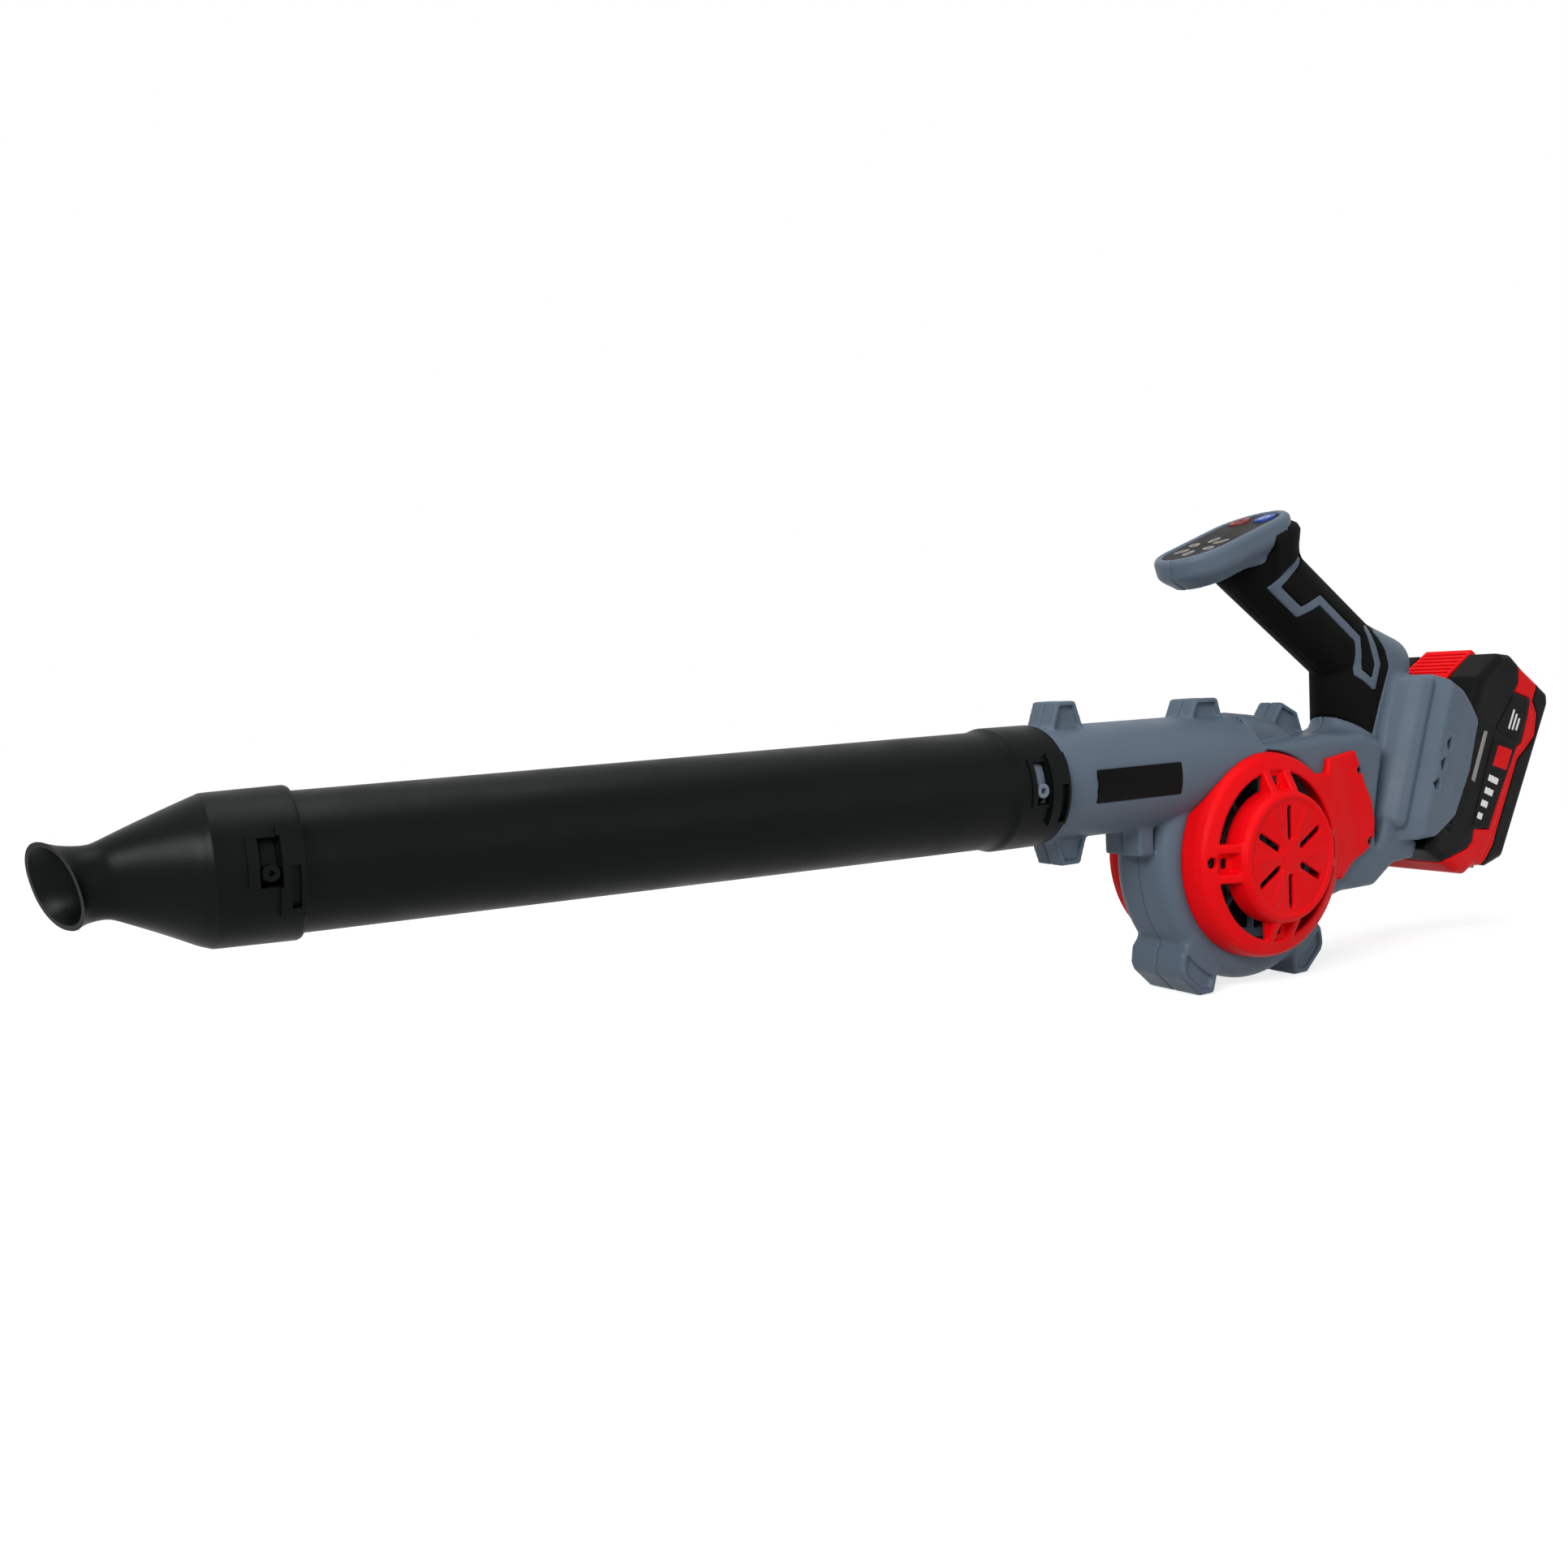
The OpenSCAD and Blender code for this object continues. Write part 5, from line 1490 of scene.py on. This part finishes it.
bars = [slanted(141.0, 79.5 + 7.6 * k, 5.0 + 1.6 * k, 4.2, 0.12) for k in range(4)]
bars += [slanted(145.4 + 3.4 * k, 136.2 + 1.0 * k, 2.2, 12.5 - 2.2 * k, 0.1) for k in range(3)]
ink = [near_plate(plan, INK_LOW, INK_HIGH, (136, 74, 160, 160), COARSE, 0.1) for plan in bars]
pts, quads = gathered(ink)
piece("gauge_marks", pts, quads, "battery", "white_print")
accent = slanted(141.4, 111.5, 13.8, 13.0, 0.22)
pts, quads = near_plate(accent, INK_LOW, INK_HIGH, (136, 105, 160, 132), FINE, 0.1)
piece("gauge_accent", pts, quads, "battery", "pack_red")

# %% [markdown]
# ## Screws
# The screw heads sit down in their holes and catch little light, and their steel is darkened as painted shade
# for the holes. Each is a turned cap with a round socket, laid along the tool's sideways axis.

# %% Cover screws
def side_cap(cx, cz, top, r, side, deep):
    """A head with its face at distance `top` from the middle plane; it ends `deep` mm below its face."""
    outline = [
        (0.25, top - 1.2), (0.8, top - 1.2), (1.1, top - 0.1), (r - 0.4, top), (r, top - 0.4), (r, top - 1.6),
        (1.5, top - 1.7), (1.5, top - deep), (0.25, top - deep),
    ]
    pts, quads = cap(outline, 28, lambda p, q, h: np.stack([cx + p, np.full(len(p), h), cz + q], 1))
    return mirrored(pts, quads[:, [0, 3, 2, 1]], side)


screws = []
for side, _ in SIDES:
    screws += [side_cap(cx, cz, 29.4, 2.2, side, 13.0) for cx, cz in TAB_SCREWS]
    screws.append(side_cap(*RING_SCREW, 31.0, 2.3, side, 12.0))
pts, quads = gathered(screws)
piece("cover_screw_heads", pts, quads, "housing", "screw_painted_shade", hides=("cover_screws",), crease=30)

# %% [markdown]
# ## Floor, light and camera
# The camera, reflections and transmitted rays see a white world. All other rays see
# a dim one, so that the lamps do most of the shaping.

# %% World
WHITE = (1.0, 1.0, 1.0, 1.0)
WORLD_STRENGTH = 0.2


def seen_as_white(tree):
    """A node whose value is 1 for camera, glossy and transmission rays: the sum of the three tests."""
    path = node(tree, "LightPath")
    first, total = node(tree, "Math", operation="ADD"), node(tree, "Math", operation="ADD")
    wire(tree, (path, "Is Glossy Ray", first, 0), (path, "Is Transmission Ray", first, 1),
         (path, "Is Camera Ray", total, 0), (first, "Value", total, 1))
    return total


world = bpy.data.worlds.new("studio")
bpy.context.scene.world = world
tree = empty_tree(world)
out = node(tree, "OutputWorld")
dim = node(tree, "Background", {"Color": WHITE, "Strength": WORLD_STRENGTH})
white = node(tree, "Background", {"Color": WHITE, "Strength": 1.0})
choice = node(tree, "MixShader")
wire(tree, (seen_as_white(tree), "Value", choice, "Fac"), (dim, "Background", choice, 1),
     (white, "Background", choice, 2), (choice, "Shader", out, "Surface"))
print("the world lights the tool with strength", WORLD_STRENGTH)

# %% [markdown]
# The floor takes the tool's shadow near by and turns to the same white with
# distance r: share = (r - 0.5) / 0.6 in metres, kept between 0 and 1, so that no
# horizon shows. For the rays that see the white world it also glows, which keeps it
# near white beside the tool.

# %% Floor
FLOOR_HALF = 6.0
FLOOR_Z = -0.0005
corners = [(-1, -1), (1, -1), (1, 1), (-1, 1)]
floor_mesh = bpy.data.meshes.new("floor")
floor_mesh.from_pydata([(FLOOR_HALF * a, FLOOR_HALF * b, FLOOR_Z) for a, b in corners], [], [(0, 1, 2, 3)])
floor = bpy.data.objects.new("floor", floor_mesh)
bpy.context.scene.collection.objects.link(floor)
floor_white = bpy.data.materials.new("floor_white")
tree = empty_tree(floor_white)
out = node(tree, "OutputMaterial")
matt = node(tree, "BsdfDiffuse", {"Color": (0.5, 0.5, 0.5, 1.0)})
glow = node(tree, "Emission", {"Color": WHITE, "Strength": 0.78})
glowing, near, end = node(tree, "AddShader"), node(tree, "MixShader"), node(tree, "MixShader")
seen = seen_as_white(tree)
place = node(tree, "TexCoord")
length = node(tree, "VectorMath", operation="LENGTH")
far = node(tree, "MapRange", {"From Min": 0.5, "From Max": 1.1})
share = node(tree, "Math", operation="MULTIPLY")
white = node(tree, "Emission", {"Strength": 1.0})
wire(tree, (matt, "BSDF", glowing, 0), (glow, "Emission", glowing, 1), (seen, "Value", near, "Fac"),
     (matt, "BSDF", near, 1), (glowing, "Shader", near, 2), (place, "Object", length, 0),
     (length, "Value", far, "Value"), (far, "Result", share, 0), (seen, "Value", share, 1),
     (share, "Value", end, "Fac"), (near, "Shader", end, 1), (white, "Emission", end, 2),
     (end, "Shader", out, "Surface"))
floor_mesh.materials.append(floor_white)
print("the floor spans", 2 * FLOOR_HALF, "metres")

# %% [markdown]
# Three soft lamps: a wide one overhead, a key from beyond the nozzle on the near
# side, and a weak wide one from the near side that opens the shadows on the housing.

# %% Lamps
def placed(made, right, up, back, at):
    """Puts an object at a place, with its own right, up and back as the columns of its matrix."""
    m = np.eye(4)
    m[:3, 0], m[:3, 1], m[:3, 2], m[:3, 3] = right, up, back, at
    bpy.context.scene.collection.objects.link(made)
    made.matrix_world = Matrix(m.tolist())


def lamp(name, place, target, size, power):
    """A square soft lamp at `place` that looks at `target`; power falls with distance squared."""
    d = bpy.data.lights.new(name, "AREA")
    d.shape = "SQUARE"
    d.size = size
    d.energy = power
    o = bpy.data.objects.new(name, d)
    p, q = np.array(place, float), np.array(target, float)
    back = (p - q) / np.linalg.norm(p - q)
    side = np.cross([0.0, 0.0, 1.0], back)
    side = side / np.linalg.norm(side)
    placed(o, side, np.cross(back, side), back, p)


lamp("overhead", (-0.1, 0.1, 1.7), (0.0, 0.0, 0.05), 1.0, 12.0)
lamp("key", (-1.3, -0.75, 0.95), (0.05, 0.0, 0.1), 0.6, 22.0)
lamp("fill", (0.5, -1.6, 0.6), (0.1, 0.0, 0.08), 1.2, 6.0)
print("three lamps are on")

# %% [markdown]
# The camera stands close to the nozzle and low on the near side, which gives the
# strong narrowing towards the battery. `turn`, `tilt` and `roll` are its angles in
# degrees. They were worked out from the ellipses that round covers make when they
# are seen at a slant.

# %% Camera
CAMERA_PLACE = (-558.0, -492.2, 96.9)


def aim_camera(place, turn, tilt, roll, lens):
    """Columns of the camera matrix: right, up and back, with roll mixing right and up."""
    a, e, r = (math.radians(v) for v in (turn, tilt, roll))
    back = np.array([-math.sin(a) * math.cos(e), -math.cos(a) * math.cos(e), math.sin(e)])
    right = np.array([math.cos(a), -math.sin(a), 0.0])
    up = np.cross(back, right)
    right_r = right * math.cos(r) + up * math.sin(r)
    up_r = -right * math.sin(r) + up * math.cos(r)
    d = bpy.data.cameras.new("camera")
    d.lens = lens
    d.sensor_width = 36.0
    d.clip_start = 0.01
    d.clip_end = 50.0
    o = bpy.data.objects.new("camera", d)
    placed(o, right_r, up_r, back, to_row(place))
    bpy.context.scene.camera = o


aim_camera(CAMERA_PLACE, turn=30.92, tilt=4.15, roll=-2.78, lens=31.68)
bpy.context.scene.view_settings.view_transform = "Standard"
print("camera stands at", to_row(CAMERA_PLACE).round(3))
